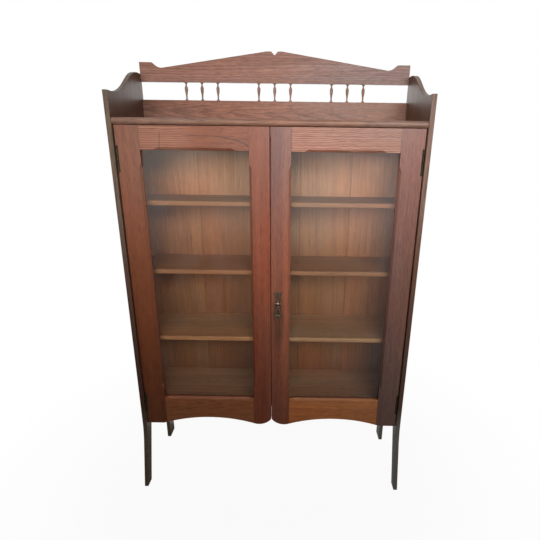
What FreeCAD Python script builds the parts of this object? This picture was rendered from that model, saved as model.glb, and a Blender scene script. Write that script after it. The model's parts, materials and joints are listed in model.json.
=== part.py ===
"""Bookcase with two glazed doors, a turned gallery and kicked front legs.

Millimetres, +Z up, +Y to the rear, origin on the floor under the middle of the whole object.
Depths named d are measured back from the front plane of the case.
"""
import FreeCAD, Part
import math
import os

Vector = FreeCAD.Vector
LEFT = -1
RIGHT = 1
SIDE_NAMES = {LEFT: "left", RIGHT: "right"}

# Case
CASE_WIDTH = 970.0
CASE_DEPTH = 280.0
SIDE_THICK = 15.0
SIDE_ARRIS = 1.5
BOARD_ARRIS = 1.5

# Side panel outline, seen from the side
SIDE_FRONT_RISE = 73.0
SHOULDER_RISE = 92.0
SHOULDER_RUN = 126.6
SHOULDER_CROWN_FLAT = 68.4
SHOULDER_HOLLOW_R = 200.0
SHOULDER_CROWN_R = 140.0
SIDE_CORNER_R = 2.0
TOE_KICK = 46.0
TOE_DEPTH = 34.0
LEG_BEND_DROP = 49.0
LEG_BEND_R = 390.0
LEG_TOP_DEPTH = 55.0
REAR_LEG_DEPTH = 52.0
ARCH_HEIGHT = 262.0
ARCH_R = 55.0
SKIRT_HEIGHT = 51.0

# Boards between the sides
TOP_THICK = 20.0
TOP_SETBACK = 3.0
TOP_NOSE_R = 9.0
BOTTOM_THICK = 17.0
HOUSING_DEPTH = 5.0
HOUSING_INSET = 9.5
BOTTOM_BAY = 242.5
LOWER_BAY = 235.5
MIDDLE_BAY = 216.5
UPPER_BAY = 227.5
SHELF_THICK = 17.0
SHELF_DOOR_GAP = 22.0
SHELF_NOSE_R = 5.0
SHELF_END_CLEARANCE = 0.4
SHELF_BACK_CLEARANCE = 0.4
CLEAT_THICK = 12.0
CLEAT_HEIGHT = 20.0
CLEAT_FRONT_INSET = 8.0
CLEAT_BACK_INSET = 6.0
CLEAT_BEVEL = 10.0

# Back of tongued boards
BACK_THICK = 12.0
BACK_REBATE = 7.0
BACK_BOARD_COUNT = 5
BACK_EDGE_CLEARANCE = 0.3
TONGUE_REACH = 5.0
TONGUE_THICK = 4.0
TONGUE_CLEARANCE = 0.2
BOARD_JOINT_V = 1.5

# Gallery
GALLERY_BASE_RISE = 82.0
SPINDLE_LENGTH = 58.0
CREST_VALLEY_WIDTH = 43.0
CREST_VALLEY_R = 30.0
CREST_EAR_RISE = 18.5
CREST_EAR_LENGTH = 43.0
CREST_EAR_RUN = 24.0
CREST_EAR_CORNER_R = 2.0
CREST_EAR_END_R = 10.0
CREST_PEAK_RISE = 56.0
CREST_PEAK_OFFSET = 27.0
CREST_PEAK_FLAT = 15.5
CREST_PEAK_R = 40.0
CREST_NOTCH_DEPTH = 12.5
CREST_NOTCH_EDGE_R = 6.0
CREST_NOTCH_R = 3.0
CREST_ARRIS = 1.0
CREST_TENON_LENGTH = 6.0
CREST_TENON_THICK = 6.0
CREST_TENON_HEIGHT = 12.0
CREST_TENON_LIFT = 4.0
SPINDLE_PITCH = 56.0
SPINDLE_GROUP_PITCH = 256.5
SPINDLE_GROUPS = (-1, 0, 1)
SPINDLES_IN_GROUP = (-1, 0, 1)
SPINDLE_COLLAR_R = 5.9
SPINDLE_COLLAR_HEIGHT = 1.6
SPINDLE_COVE_HEIGHT = 7.0
SPINDLE_NECK_R = 2.7
SPINDLE_BULB_R = 5.6
SPINDLE_BULB_DROP = 19.0
SPINDLE_TENON_R = 2.4
SPINDLE_TENON_LENGTH = 8.0
SPINDLE_TENON_CLEARANCE = 0.05

# Doors
DOOR_SETBACK = 10.0
DOOR_TOP_GAP = 1.5
DOOR_SIDE_GAP = 1.5
DOOR_MEETING_GAP = 1.4
DOOR_FOOT_DROP = 83.0
DOOR_ARRIS = 1.2
DOOR_MEETING_R = 3.0
DOOR_STOP_GAP = 0.5
HINGE_STILE_WIDTH = 72.5
MEETING_STILE_WIDTH = 64.0
TOP_RAIL_HEIGHT = 70.0
SIGHT_RISE = 31.0
ARCH_RISE = 25.0
LOBE_TIP_RISE = 23.3
LOBE_CENTRE_INSET = 18.0
HINGE_STILE_EASE = 12.0
CHAMFER_SIZE = 7.0
CHAMFER_STOP = 38.0
BOTTOM_CHAMFER_STOP = 6.0
CHAMFER_RUNOUT = 15.0
DOOR_TENON_LENGTH = 30.0
DOOR_TENON_THICK = 7.0
DOOR_TENON_EDGE = 4.0
DOOR_TENON_CLEARANCE = 0.15
CHIP_WIDTH = 18.0
CHIP_HEIGHT = 30.0
CHIP_DEPTH = 4.0

# Glazing
GLASS_THICK = 3.0
GLASS_LIP = 10.0
GLASS_REBATE = 8.0
GLASS_CLEARANCE = 0.8
BEAD_THICK = 7.0
BEAD_CLEARANCE = 0.1
BEAD_CHAMFER = 3.0

# Butt hinges
HINGE_HEIGHT = 76.0
UPPER_HINGE_DROP = 98.0
LOWER_HINGE_LIFT = 91.0
LEAF_THICK = 2.0
LEAF_MARGIN = 1.0
KNUCKLE_R = 3.5
KNUCKLE_WALL_GAP = 0.5
KNUCKLE_COUNT = 5
KNUCKLE_GAP = 0.3
KNUCKLE_CLEARANCE = 0.3
HINGE_PIN_R = 1.6
HINGE_PIN_CLEARANCE = 0.05
HINGE_PIN_HEAD_R = 2.4
HINGE_PIN_HEAD = 1.2
HINGE_NOTCH_CLEARANCE = 0.4
HINGE_SCREW_PITCH = 26.0
HINGE_SCREW_SETBACK = 11.0
HINGE_SCREW_HEAD_R = 3.2
HINGE_SCREW_R = 1.6
HINGE_SCREW_LENGTH = 11.0
SCREW_SLOT_WIDTH = 0.7
SCREW_SLOT_DEPTH = 0.8
SCREW_CLEARANCE = 0.05

# Stop batten and ball catches
STOP_DEPTH = 14.0
STOP_HEIGHT = 18.0
STOP_END_CLEARANCE = 0.5
CATCH_INSET = 22.5
CATCH_WALL = 1.1
CATCH_FLOOR = 3.0
CATCH_BARREL_LENGTH = 16.0
CATCH_BALL_R = 3.4
CATCH_BALL_CLEARANCE = 0.08
CATCH_ENGAGEMENT = 0.9
STRIKE_LENGTH = 24.0
STRIKE_WIDTH = 12.0
STRIKE_THICK = 1.2
STRIKE_HOLE_CLEARANCE = 0.3
STRIKE_POCKET_DEPTH = 3.0
SEAT_CLEARANCE = 0.05

# Drop handle on the right door
HANDLE_INSET = 23.8
HANDLE_LIFT = 493.5
PLATE_THICK = 1.6
PLATE_ARRIS = 0.5
PLATE_CROWN_RISE = 38.5
PLATE_DIP_RISE = 35.0
PLATE_DIP_HALF = 6.0
PLATE_EAR_RISE = 40.5
PLATE_EAR_HALF = 15.0
PLATE_FLARE_RISE = 27.0
PLATE_FLARE_HALF = 13.6
PLATE_NOTCH_RISE = 23.5
PLATE_NOTCH_HALF = 9.8
PLATE_SCROLL_RISE = 19.0
PLATE_SCROLL_HALF = 11.8
PLATE_WAIST_RISE = 9.0
PLATE_WAIST_HALF = 7.0
PLATE_BOSS_HALF = 8.5
PLATE_TAIL_DROP = 14.0
PLATE_TAIL_HALF = 5.0
PLATE_SPADE_DROP = 32.0
PLATE_SPADE_HALF = 4.2
PLATE_TIP_DROP = 46.0
PLATE_SHARP_R = 1.5
PLATE_SOFT_R = 5.0
PLATE_PIN_HEIGHTS = (31.0, 16.0, -30.0)
PLATE_PIN_HEAD_R = 2.0
PLATE_PIN_HEAD = 1.2
PLATE_PIN_R = 1.0
PLATE_PIN_LENGTH = 12.0
POST_REACH = 9.0
POST_R = 3.2
POST_BALL_R = 5.6
POST_COLLAR_R = 5.4
POST_COLLAR = 1.4
POST_TAIL_R = 2.0
POST_TAIL_LENGTH = 12.0
PIVOT_R = 1.2
PIVOT_CLEARANCE = 0.05
CHEEK_GAP = 0.5
CHEEK_THICK = 2.2
CHEEK_R = 4.6
DROP_THICK = 5.0
DROP_ARRIS = 1.0
DROP_FORK_DEPTH = 7.0
DROP_SHOULDER_LENGTH = 7.0
DROP_NECK_HALF = 4.0
DROP_BELL_LENGTH = 22.5
DROP_FLARE_HALF = 11.6
DROP_FOOT_LENGTH = 8.0
DROP_FOOT_HALF = 14.6
DROP_LOBE_LENGTH = 7.0
DROP_LOBE_HALF = 8.0
DROP_CLEFT_DEPTH = 3.5
DROP_BAR = 8.0
DROP_EYE_SETBACK = 5.0
DROP_EYE_WALL = 1.9
DROP_SHARP_R = 1.5
DROP_SOFT_R = 5.0

# Places worked out from the sizes above
FRONT = (TOE_KICK - CASE_DEPTH) / 2
OUTER_HALF = CASE_WIDTH / 2
INNER_HALF = OUTER_HALF - SIDE_THICK
BACK_FACE = CASE_DEPTH - BACK_THICK
BACK_MID = CASE_DEPTH - BACK_THICK / 2
BACK_HALF = INNER_HALF + BACK_REBATE - BACK_EDGE_CLEARANCE
BOTTOM_UNDERSIDE = ARCH_HEIGHT + SKIRT_HEIGHT
BOTTOM_SURFACE = BOTTOM_UNDERSIDE + BOTTOM_THICK
LOWER_SHELF = BOTTOM_SURFACE + BOTTOM_BAY + SHELF_THICK
MIDDLE_SHELF = LOWER_SHELF + LOWER_BAY + SHELF_THICK
UPPER_SHELF = MIDDLE_SHELF + MIDDLE_BAY + SHELF_THICK
SHELF_SURFACES = {"lower": LOWER_SHELF, "middle": MIDDLE_SHELF, "upper": UPPER_SHELF}
TOP_UNDERSIDE = UPPER_SHELF + UPPER_BAY
TOP_SURFACE = TOP_UNDERSIDE + TOP_THICK
BACK_TOP = TOP_UNDERSIDE + TOP_THICK / 2
SIDE_FRONT_HEIGHT = TOP_SURFACE + SIDE_FRONT_RISE
SIDE_REAR_HEIGHT = SIDE_FRONT_HEIGHT + SHOULDER_RISE
GALLERY_BASE_TOP = TOP_SURFACE + GALLERY_BASE_RISE
CREST_UNDERSIDE = GALLERY_BASE_TOP + SPINDLE_LENGTH
CREST_VALLEY = CREST_UNDERSIDE + CREST_VALLEY_WIDTH
CREST_EAR_TOP = CREST_VALLEY + CREST_EAR_RISE
CREST_PEAK = CREST_VALLEY + CREST_PEAK_RISE
DOOR_THICK = GLASS_LIP + GLASS_THICK + BEAD_THICK
DOOR_BACK = DOOR_SETBACK + DOOR_THICK
DOOR_MID = DOOR_SETBACK + DOOR_THICK / 2
DOOR_TOP = TOP_UNDERSIDE - DOOR_TOP_GAP
DOOR_OUTER = INNER_HALF - DOOR_SIDE_GAP
DOOR_INNER = DOOR_MEETING_GAP / 2
DOOR_FOOT = BOTTOM_SURFACE - DOOR_FOOT_DROP
OPENING_BOTTOM = BOTTOM_SURFACE + SIGHT_RISE
OPENING_INNER = DOOR_INNER + MEETING_STILE_WIDTH
OPENING_OUTER = DOOR_OUTER - HINGE_STILE_WIDTH
OPENING_TOP = DOOR_TOP - TOP_RAIL_HEIGHT
LOBE_CENTRE_X = OPENING_INNER - LOBE_CENTRE_INSET
LOBE_TIP = DOOR_FOOT + LOBE_TIP_RISE
LOBE_R = ((LOBE_CENTRE_X - DOOR_INNER) ** 2 + LOBE_TIP_RISE ** 2) / (2 * LOBE_TIP_RISE)
ARCH_SPRING = DOOR_FOOT + LOBE_R - math.sqrt(LOBE_R ** 2 - LOBE_CENTRE_INSET ** 2)
LIP_BACK = DOOR_SETBACK + GLASS_LIP
GLASS_BACK = LIP_BACK + GLASS_THICK
PIN_X = INNER_HALF - KNUCKLE_WALL_GAP - KNUCKLE_R
NOTCH_X = PIN_X - KNUCKLE_WALL_GAP - KNUCKLE_R
DOOR_LEAF_FACE = NOTCH_X + LEAF_THICK
LEAF_BACK = DOOR_BACK - LEAF_MARGIN
HINGE_HEIGHTS = {"upper": DOOR_TOP - UPPER_HINGE_DROP, "lower": DOOR_FOOT + LOWER_HINGE_LIFT}
STOP_FRONT = DOOR_BACK + DOOR_STOP_GAP
HOUSING_STOP = STOP_FRONT + HOUSING_INSET
SHELF_FRONT = DOOR_BACK + SHELF_DOOR_GAP
CATCH_OFFSET = DOOR_INNER + CATCH_INSET
CATCH_BORE_R = CATCH_BALL_R + CATCH_BALL_CLEARANCE
CATCH_BALL_CENTRE = TOP_UNDERSIDE + CATCH_ENGAGEMENT - CATCH_BALL_R
HANDLE_OFFSET = DOOR_INNER + HANDLE_INSET
HANDLE_HEIGHT = DOOR_FOOT + HANDLE_LIFT
PLATE_FRONT = DOOR_SETBACK - PLATE_THICK
PIVOT_DEPTH = PLATE_FRONT - POST_REACH
CHEEK_INNER = POST_BALL_R + CHEEK_GAP
CHEEK_OUTER = CHEEK_INNER + CHEEK_THICK
DROP_NECK = -DROP_FORK_DEPTH - DROP_SHOULDER_LENGTH
DROP_FLARE = DROP_NECK - DROP_BELL_LENGTH
DROP_FOOT = DROP_FLARE - DROP_FOOT_LENGTH
DROP_LOBE = DROP_FOOT - DROP_LOBE_LENGTH
DROP_CLEFT = DROP_LOBE + DROP_CLEFT_DEPTH

TOLERANCE = 1e-4


def place(x, d, z):
    """Point from its offset across, its depth behind the case front and its height."""
    return Vector(x, FRONT + d, z)


def block(x, d, z):
    """Box between two offsets across, two depths and two heights, in either order."""
    x, d, z = sorted(x), sorted(d), sorted(z)
    return Part.makeBox(x[1] - x[0], d[1] - d[0], z[1] - z[0], place(x[0], d[0], z[0]))


def side_share(length, reach, neighbour):
    """How much of an arc fits along a side that it shares with the next corner's arc, at most all of it."""
    return min(1.0, length / (reach + neighbour)) if reach > 0 else 1.0


def arc_spans(points, radii):
    """Start, crown and end of the arc at each corner, smaller where the sides are too short for it."""
    count = len(points)
    sides = [points[(index + 1) % count] - points[index] for index in range(count)]
    halves = [(-sides[index - 1]).getAngle(sides[index]) / 2 for index in range(count)]
    reaches = [radius / math.tan(half) for radius, half in zip(radii, halves)]
    spans = []
    for index, corner in enumerate(points):
        before = side_share(sides[index - 1].Length, reaches[index], reaches[index - 1])
        after = side_share(sides[index].Length, reaches[index], reaches[(index + 1) % count])
        reach = reaches[index] * min(before, after)
        back = Vector(sides[index - 1]).normalize() * -reach
        ahead = Vector(sides[index]).normalize() * reach
        if reach == 0:
            spans.append((corner, None, corner))
            continue
        bulge = reach / math.cos(halves[index]) - reach * math.tan(halves[index])
        crown = corner + (back + ahead).normalize() * bulge
        spans.append((corner + back, crown, corner + ahead))
    return spans


def rounded_wire(corners, to_point):
    """Closed wire through (a, b, radius) corners, each rounded by a tangent arc of its radius."""
    points = [Vector(a, b, 0) for a, b, radius in corners]
    spans = arc_spans(points, [radius for a, b, radius in corners])
    edges = []
    for index, (start, crown, end) in enumerate(spans):
        last_end = spans[index - 1][2]
        points = [to_point(p.x, p.y) for p in (last_end, start, end)]
        if points[0].distanceToPoint(points[1]) > TOLERANCE:
            edges.append(Part.LineSegment(points[0], points[1]).toShape())
        if crown is not None:
            edges.append(Part.Arc(points[1], to_point(crown.x, crown.y), points[2]).toShape())
    return Part.Wire(edges)


def mirrored(half):
    """Closed outline from one half that starts and ends on the centre line, top first."""
    return half + [(-a, b, radius) for a, b, radius in reversed(half) if a > 0]


def front_solid(corners, d):
    """Solid with an outline drawn in the front view, between two depths."""
    wire = rounded_wire(corners, lambda x, z: place(x, d[0], z))
    return Part.Face(wire).extrude(Vector(0, d[1] - d[0], 0))


def side_solid(corners, x):
    """Solid with an outline drawn in the side view, between two offsets across."""
    wire = rounded_wire(corners, lambda d, z: place(x[0], d, z))
    return Part.Face(wire).extrude(Vector(x[1] - x[0], 0, 0))


def edges_at(shape, x=None, d=None, z=None):
    """Edges that lie wholly at the given offset, depth and height, where these are given."""
    wanted = (("X", x), ("Y", None if d is None else FRONT + d), ("Z", z))
    found = []
    for edge in shape.Edges:
        box = edge.BoundBox
        sides = [(getattr(box, axis + "Min"), getattr(box, axis + "Max"), at) for axis, at in wanted]
        if all(at is None or max(abs(low - at), abs(high - at)) < TOLERANCE for low, high, at in sides):
            found.append(edge)
    return found


def rod(x, d, z, radius, length, direction):
    """Cylinder from a point along a direction."""
    return Part.makeCylinder(radius, length, place(x, d, z), direction)


def stopped_chamfer(start, end, inward):
    """Tool that cuts a chamfer along an arris and runs out to nothing at both ends."""
    along = (end - start).normalize()
    across = along.cross(inward).normalize()
    depth = CHAMFER_SIZE / math.sqrt(2)
    overshoot = CHAMFER_RUNOUT / depth
    corners = [
        start - inward - along * overshoot,
        start + inward * depth + along * CHAMFER_RUNOUT,
        end + inward * depth - along * CHAMFER_RUNOUT,
        end - inward + along * overshoot,
    ]
    shift = across * CHAMFER_SIZE
    face = Part.Face(Part.makePolygon([point - shift for point in corners + corners[:1]]))
    return face.extrude(shift * 2)


def wood_screw(x, d, z, direction, head_r, length, clearance=0.0):
    """Countersunk screw whose head is as deep as a hinge leaf, starting at the leaf's face."""
    head = Part.makeCone(head_r + clearance, HINGE_SCREW_R + clearance, LEAF_THICK, place(x, d, z), direction)
    shank = Part.makeCylinder(HINGE_SCREW_R + clearance, length + clearance, place(x, d, z), direction)
    return head.fuse(shank).removeSplitter()


def side_panel_outline():
    """Side panel in the side view, from the front top corner down to the toe and round."""
    rear_leg_front = CASE_DEPTH - REAR_LEG_DEPTH
    crown = CASE_DEPTH - SHOULDER_CROWN_FLAT
    return [
        (0, SIDE_FRONT_HEIGHT, SIDE_CORNER_R),
        (0, ARCH_HEIGHT - LEG_BEND_DROP, LEG_BEND_R),
        (-TOE_KICK, 0, 0),
        (TOE_DEPTH - TOE_KICK, 0, 0),
        (LEG_TOP_DEPTH, ARCH_HEIGHT, ARCH_R),
        (rear_leg_front, ARCH_HEIGHT, ARCH_R),
        (rear_leg_front, 0, 0),
        (CASE_DEPTH, 0, 0),
        (CASE_DEPTH, SIDE_REAR_HEIGHT, SIDE_CORNER_R),
        (crown, SIDE_REAR_HEIGHT, SHOULDER_CROWN_R),
        (crown - SHOULDER_RUN, SIDE_FRONT_HEIGHT, SHOULDER_HOLLOW_R),
    ]


def housing(side, z):
    """End tongue of a board and, with the same sizes, its stopped housing in the side panel."""
    x = (side * INNER_HALF, side * (INNER_HALF + HOUSING_DEPTH))
    return block(x, (HOUSING_STOP, BACK_FACE), z)


def crest_tenon(side):
    """Stub tenon at one end of the crest rail."""
    low = CREST_UNDERSIDE + CREST_TENON_LIFT
    x = (side * INNER_HALF, side * (INNER_HALF + CREST_TENON_LENGTH))
    d = (BACK_MID - CREST_TENON_THICK / 2, BACK_MID + CREST_TENON_THICK / 2)
    return block(x, d, (low, low + CREST_TENON_HEIGHT))


def side_panel(side):
    """One board with its legs, housings, back rebate and screw holes."""
    panel = side_solid(side_panel_outline(), (side * INNER_HALF, side * OUTER_HALF))
    faces = edges_at(panel, x=side * OUTER_HALF) + edges_at(panel, x=side * INNER_HALF)
    panel = panel.makeFillet(SIDE_ARRIS, faces)
    rebate_x = (side * INNER_HALF, side * (INNER_HALF + BACK_REBATE))
    rebate = block(rebate_x, (BACK_FACE, CASE_DEPTH), (BOTTOM_UNDERSIDE, GALLERY_BASE_TOP))
    cuts = [rebate, crest_tenon(side)]
    cuts.append(housing(side, (TOP_UNDERSIDE, TOP_SURFACE)))
    cuts.append(housing(side, (BOTTOM_UNDERSIDE, BOTTOM_SURFACE)))
    for height in HINGE_HEIGHTS.values():
        cuts += case_leaf_screws(side, height, SCREW_CLEARANCE)
    return panel.cut(cuts)


def nosed_board(half_width, d, z, nose_r):
    """Board across the case with a rounded front edge."""
    corners = [(d[0], z[0], nose_r), (d[1], z[0], 0), (d[1], z[1], 0), (d[0], z[1], nose_r)]
    return side_solid(corners, (-half_width, half_width))


def housed_board(d, z, nose_r):
    """Nosed board with a tongue at each end."""
    board = nosed_board(INNER_HALF, d, z, nose_r)
    return board.fuse([housing(LEFT, z), housing(RIGHT, z)]).removeSplitter()


def top_board():
    """Top board with recesses for the catch strikes."""
    board = housed_board((TOP_SETBACK, BACK_FACE), (TOP_UNDERSIDE, TOP_SURFACE), TOP_NOSE_R)
    cuts = []
    for side in (LEFT, RIGHT):
        cuts.append(strike_blank(side))
        pocket_r = strike_hole_r()
        start = TOP_UNDERSIDE + STRIKE_THICK
        cuts.append(rod(side * CATCH_OFFSET, DOOR_MID, start, pocket_r, STRIKE_POCKET_DEPTH, Vector(0, 0, 1)))
    return board.cut(cuts)


def bottom_board():
    """Bottom board behind the doors."""
    return housed_board((STOP_FRONT, BACK_FACE), (BOTTOM_UNDERSIDE, BOTTOM_SURFACE), BOARD_ARRIS)


def shelf(surface):
    """Loose shelf on its cleats."""
    half = INNER_HALF - SHELF_END_CLEARANCE
    depth = (SHELF_FRONT, BACK_FACE - SHELF_BACK_CLEARANCE)
    return nosed_board(half, depth, (surface - SHELF_THICK, surface), SHELF_NOSE_R)


def cleat(side, surface):
    """Batten under one end of a shelf, bevelled at its front."""
    top = surface - SHELF_THICK
    front = SHELF_FRONT + CLEAT_FRONT_INSET
    corners = [
        (front, top, 0),
        (front, top - CLEAT_HEIGHT + CLEAT_BEVEL, 0),
        (front + CLEAT_BEVEL, top - CLEAT_HEIGHT, 0),
        (BACK_FACE - CLEAT_BACK_INSET, top - CLEAT_HEIGHT, 0),
        (BACK_FACE - CLEAT_BACK_INSET, top, 0),
    ]
    return side_solid(corners, (side * INNER_HALF, side * (INNER_HALF - CLEAT_THICK)))


def shelf_cleats():
    """Every cleat of the three shelves."""
    return [cleat(side, surface) for surface in SHELF_SURFACES.values() for side in (LEFT, RIGHT)]


def back_tongue(x, clearance):
    """Tongue on the right edge of a back board, or its groove when a clearance is given."""
    half = TONGUE_THICK / 2 + clearance
    depth = (BACK_MID - half, BACK_MID + half)
    return block((x, x + TONGUE_REACH + clearance), depth, (BOTTOM_UNDERSIDE, BACK_TOP))


def back_board(index):
    """One upright back board with a tongue, a groove and a shallow V at each joint."""
    pitch = 2 * BACK_HALF / BACK_BOARD_COUNT
    x = (-BACK_HALF + index * pitch, -BACK_HALF + (index + 1) * pitch)
    board = block(x, (BACK_FACE, CASE_DEPTH), (BOTTOM_UNDERSIDE, BACK_TOP))
    jointed = [x[0]] * (index > 0) + [x[1]] * (index < BACK_BOARD_COUNT - 1)
    arrises = [edge for at in jointed for edge in edges_at(board, x=at, d=BACK_FACE)]
    board = board.makeChamfer(BOARD_JOINT_V, arrises)
    if index > 0:
        board = board.cut(back_tongue(x[0], TONGUE_CLEARANCE))
    if index < BACK_BOARD_COUNT - 1:
        board = board.fuse(back_tongue(x[1], 0.0))
    return board


def spindle_offsets():
    """Places of the spindles across the gallery, from left to right."""
    return [g * SPINDLE_GROUP_PITCH + s * SPINDLE_PITCH for g in SPINDLE_GROUPS for s in SPINDLES_IN_GROUP]


def spindle_holes(z, direction):
    """Peg holes for every spindle in one rail, starting at the rail's face."""
    radius = SPINDLE_TENON_R + SPINDLE_TENON_CLEARANCE
    length = SPINDLE_TENON_LENGTH + SPINDLE_TENON_CLEARANCE
    return [rod(x, BACK_MID, z, radius, length, direction) for x in spindle_offsets()]


def gallery_base_rail():
    """Rail behind the top board that carries the spindles."""
    rail = block((-BACK_HALF, BACK_HALF), (BACK_FACE, CASE_DEPTH), (BACK_TOP, GALLERY_BASE_TOP))
    rail = rail.makeFillet(CREST_ARRIS, edges_at(rail, d=BACK_FACE, z=GALLERY_BASE_TOP))
    return rail.cut(spindle_holes(GALLERY_BASE_TOP, Vector(0, 0, -1)))


def gallery_crest_rail():
    """Crest with a double peak, long slopes and an ear at each end."""
    half = [
        (0, CREST_PEAK - CREST_NOTCH_DEPTH, CREST_NOTCH_R),
        (CREST_PEAK_OFFSET - CREST_PEAK_FLAT, CREST_PEAK, CREST_NOTCH_EDGE_R),
        (CREST_PEAK_OFFSET, CREST_PEAK, CREST_PEAK_R),
        (INNER_HALF - CREST_EAR_LENGTH - CREST_EAR_RUN, CREST_VALLEY, CREST_VALLEY_R),
        (INNER_HALF - CREST_EAR_LENGTH, CREST_EAR_TOP, CREST_EAR_END_R),
        (INNER_HALF, CREST_EAR_TOP, CREST_EAR_CORNER_R),
        (INNER_HALF, CREST_UNDERSIDE, 0),
    ]
    rail = front_solid(mirrored(half), (BACK_FACE, CASE_DEPTH))
    rail = rail.makeFillet(CREST_ARRIS, edges_at(rail, d=BACK_FACE) + edges_at(rail, d=CASE_DEPTH))
    rail = rail.fuse([crest_tenon(LEFT), crest_tenon(RIGHT)])
    return rail.cut(spindle_holes(CREST_UNDERSIDE, Vector(0, 0, 1)))


def spindle_curve(lower, upper):
    """Smooth swell between two (radius, height) points, upright at both."""
    pull = (upper[1] - lower[1]) / 2
    poles = [lower, (lower[0], lower[1] + pull), (upper[0], upper[1] - pull), upper]
    curve = Part.BezierCurve()
    curve.setPoles([Vector(radius, 0, height) for radius, height in poles])
    return curve.toShape()


def spindle_cove(collar, neck):
    """Hollow quarter round between a collar and a neck."""
    bend = 1 - math.sqrt(0.5)
    inner = neck[0] + (collar[0] - neck[0]) * bend
    level = collar[1] + (neck[1] - collar[1]) * bend
    points = [collar, (inner, level), neck]
    return Part.Arc(*[Vector(radius, 0, height) for radius, height in points]).toShape()


def spindle(x):
    """Turned spindle: pegs, collars, coves, and a vase that swells near its top."""
    low = GALLERY_BASE_TOP
    high = CREST_UNDERSIDE
    neck_low = (SPINDLE_NECK_R, low + SPINDLE_COLLAR_HEIGHT + SPINDLE_COVE_HEIGHT)
    neck_high = (SPINDLE_NECK_R, high - SPINDLE_COLLAR_HEIGHT - SPINDLE_COVE_HEIGHT)
    collar_low = (SPINDLE_COLLAR_R, low + SPINDLE_COLLAR_HEIGHT)
    collar_high = (SPINDLE_COLLAR_R, high - SPINDLE_COLLAR_HEIGHT)
    bulb = (SPINDLE_BULB_R, high - SPINDLE_BULB_DROP)
    foot = [
        (0, low - SPINDLE_TENON_LENGTH),
        (SPINDLE_TENON_R, low - SPINDLE_TENON_LENGTH),
        (SPINDLE_TENON_R, low),
        (SPINDLE_COLLAR_R, low),
        collar_low,
    ]
    head = [
        collar_high,
        (SPINDLE_COLLAR_R, high),
        (SPINDLE_TENON_R, high),
        (SPINDLE_TENON_R, high + SPINDLE_TENON_LENGTH),
        (0, high + SPINDLE_TENON_LENGTH),
    ]
    edges = []
    for run in (foot, head, [head[-1], foot[0]]):
        for start, end in zip(run, run[1:]):
            edges.append(Part.LineSegment(Vector(start[0], 0, start[1]), Vector(end[0], 0, end[1])).toShape())
    edges.append(spindle_cove(collar_low, neck_low))
    edges.append(spindle_curve(neck_low, bulb))
    edges.append(spindle_curve(bulb, neck_high))
    edges.append(spindle_cove(collar_high, neck_high))
    wire = Part.Wire(Part.__sortEdges__(edges))
    turned = Part.Face(wire).revolve(Vector(0, 0, 0), Vector(0, 0, 1), 360)
    turned.translate(place(x, BACK_MID, 0))
    return turned


def door_stop_batten():
    """Batten under the top board that the closed doors meet."""
    half = INNER_HALF - STOP_END_CLEARANCE
    depth = (STOP_FRONT, STOP_FRONT + STOP_DEPTH)
    return block((-half, half), depth, (TOP_UNDERSIDE - STOP_HEIGHT, TOP_UNDERSIDE))


def door_tenon(side, x, z, clearance):
    """Rail tenon that starts at a stile's inner edge, or its mortise when a clearance is given."""
    half = DOOR_TENON_THICK / 2 + clearance
    reach = DOOR_TENON_LENGTH + clearance
    end = x + reach if x == OPENING_OUTER else x - reach
    depth = (DOOR_MID - half, DOOR_MID + half)
    return block((side * x, side * end), depth, (z[0] - clearance, z[1] + clearance))


def tenon_spans():
    """Lowest and highest point of the top and of the bottom rail's tenons, clear of catch, glass and arch."""
    inset = GLASS_REBATE + DOOR_TENON_EDGE
    top = (OPENING_TOP + inset, DOOR_TOP - CATCH_BARREL_LENGTH - DOOR_TENON_EDGE)
    bottom = (ARCH_SPRING + ARCH_RISE + inset, OPENING_BOTTOM - inset)
    return top, bottom


def stile_cuts(side, x, into):
    """Mortises, glass rebate and stopped chamfer along the inner edge of a stile."""
    cuts = [door_tenon(side, x, span, DOOR_TENON_CLEARANCE) for span in tenon_spans()]
    rebate_z = (OPENING_BOTTOM - GLASS_REBATE, OPENING_TOP + GLASS_REBATE)
    cuts.append(block((side * x, side * (x + into * GLASS_REBATE)), (LIP_BACK, DOOR_BACK), rebate_z))
    start = place(side * x, DOOR_SETBACK, OPENING_BOTTOM + CHAMFER_STOP)
    end = place(side * x, DOOR_SETBACK, OPENING_TOP - CHAMFER_STOP)
    cuts.append(stopped_chamfer(start, end, Vector(side * into, 1, 0).normalize()))
    return cuts


def hinge_stile(side):
    """Outer stile with notches for the hinges."""
    corners = [
        (side * OPENING_OUTER, DOOR_TOP, 0),
        (side * DOOR_OUTER, DOOR_TOP, 0),
        (side * DOOR_OUTER, DOOR_FOOT, 0),
        (side * (OPENING_OUTER + HINGE_STILE_EASE), DOOR_FOOT, 0),
        (side * OPENING_OUTER, ARCH_SPRING, 0),
    ]
    stile = front_solid(corners, (DOOR_SETBACK, DOOR_BACK))
    stile = stile.makeFillet(DOOR_ARRIS, edges_at(stile, x=side * DOOR_OUTER, d=DOOR_SETBACK))
    cuts = stile_cuts(side, OPENING_OUTER, 1)
    for height in HINGE_HEIGHTS.values():
        half = HINGE_HEIGHT / 2 + HINGE_PIN_HEAD + HINGE_NOTCH_CLEARANCE
        notch_x = (side * NOTCH_X, side * (DOOR_OUTER + DOOR_SIDE_GAP))
        cuts.append(block(notch_x, (DOOR_SETBACK, DOOR_BACK), (height - half, height + half)))
        cuts += door_leaf_screws(side, height, SCREW_CLEARANCE)
    return stile.cut(cuts)


def worn_chip(side):
    """Chip broken from the upper meeting corner of a stile."""
    corner = side * DOOR_INNER
    corners = [
        (corner, DOOR_TOP, 0),
        (corner + side * CHIP_WIDTH, DOOR_TOP, 0),
        (corner, DOOR_TOP - CHIP_HEIGHT, 0),
    ]
    return front_solid(corners, (DOOR_SETBACK, DOOR_SETBACK + CHIP_DEPTH))


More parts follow.
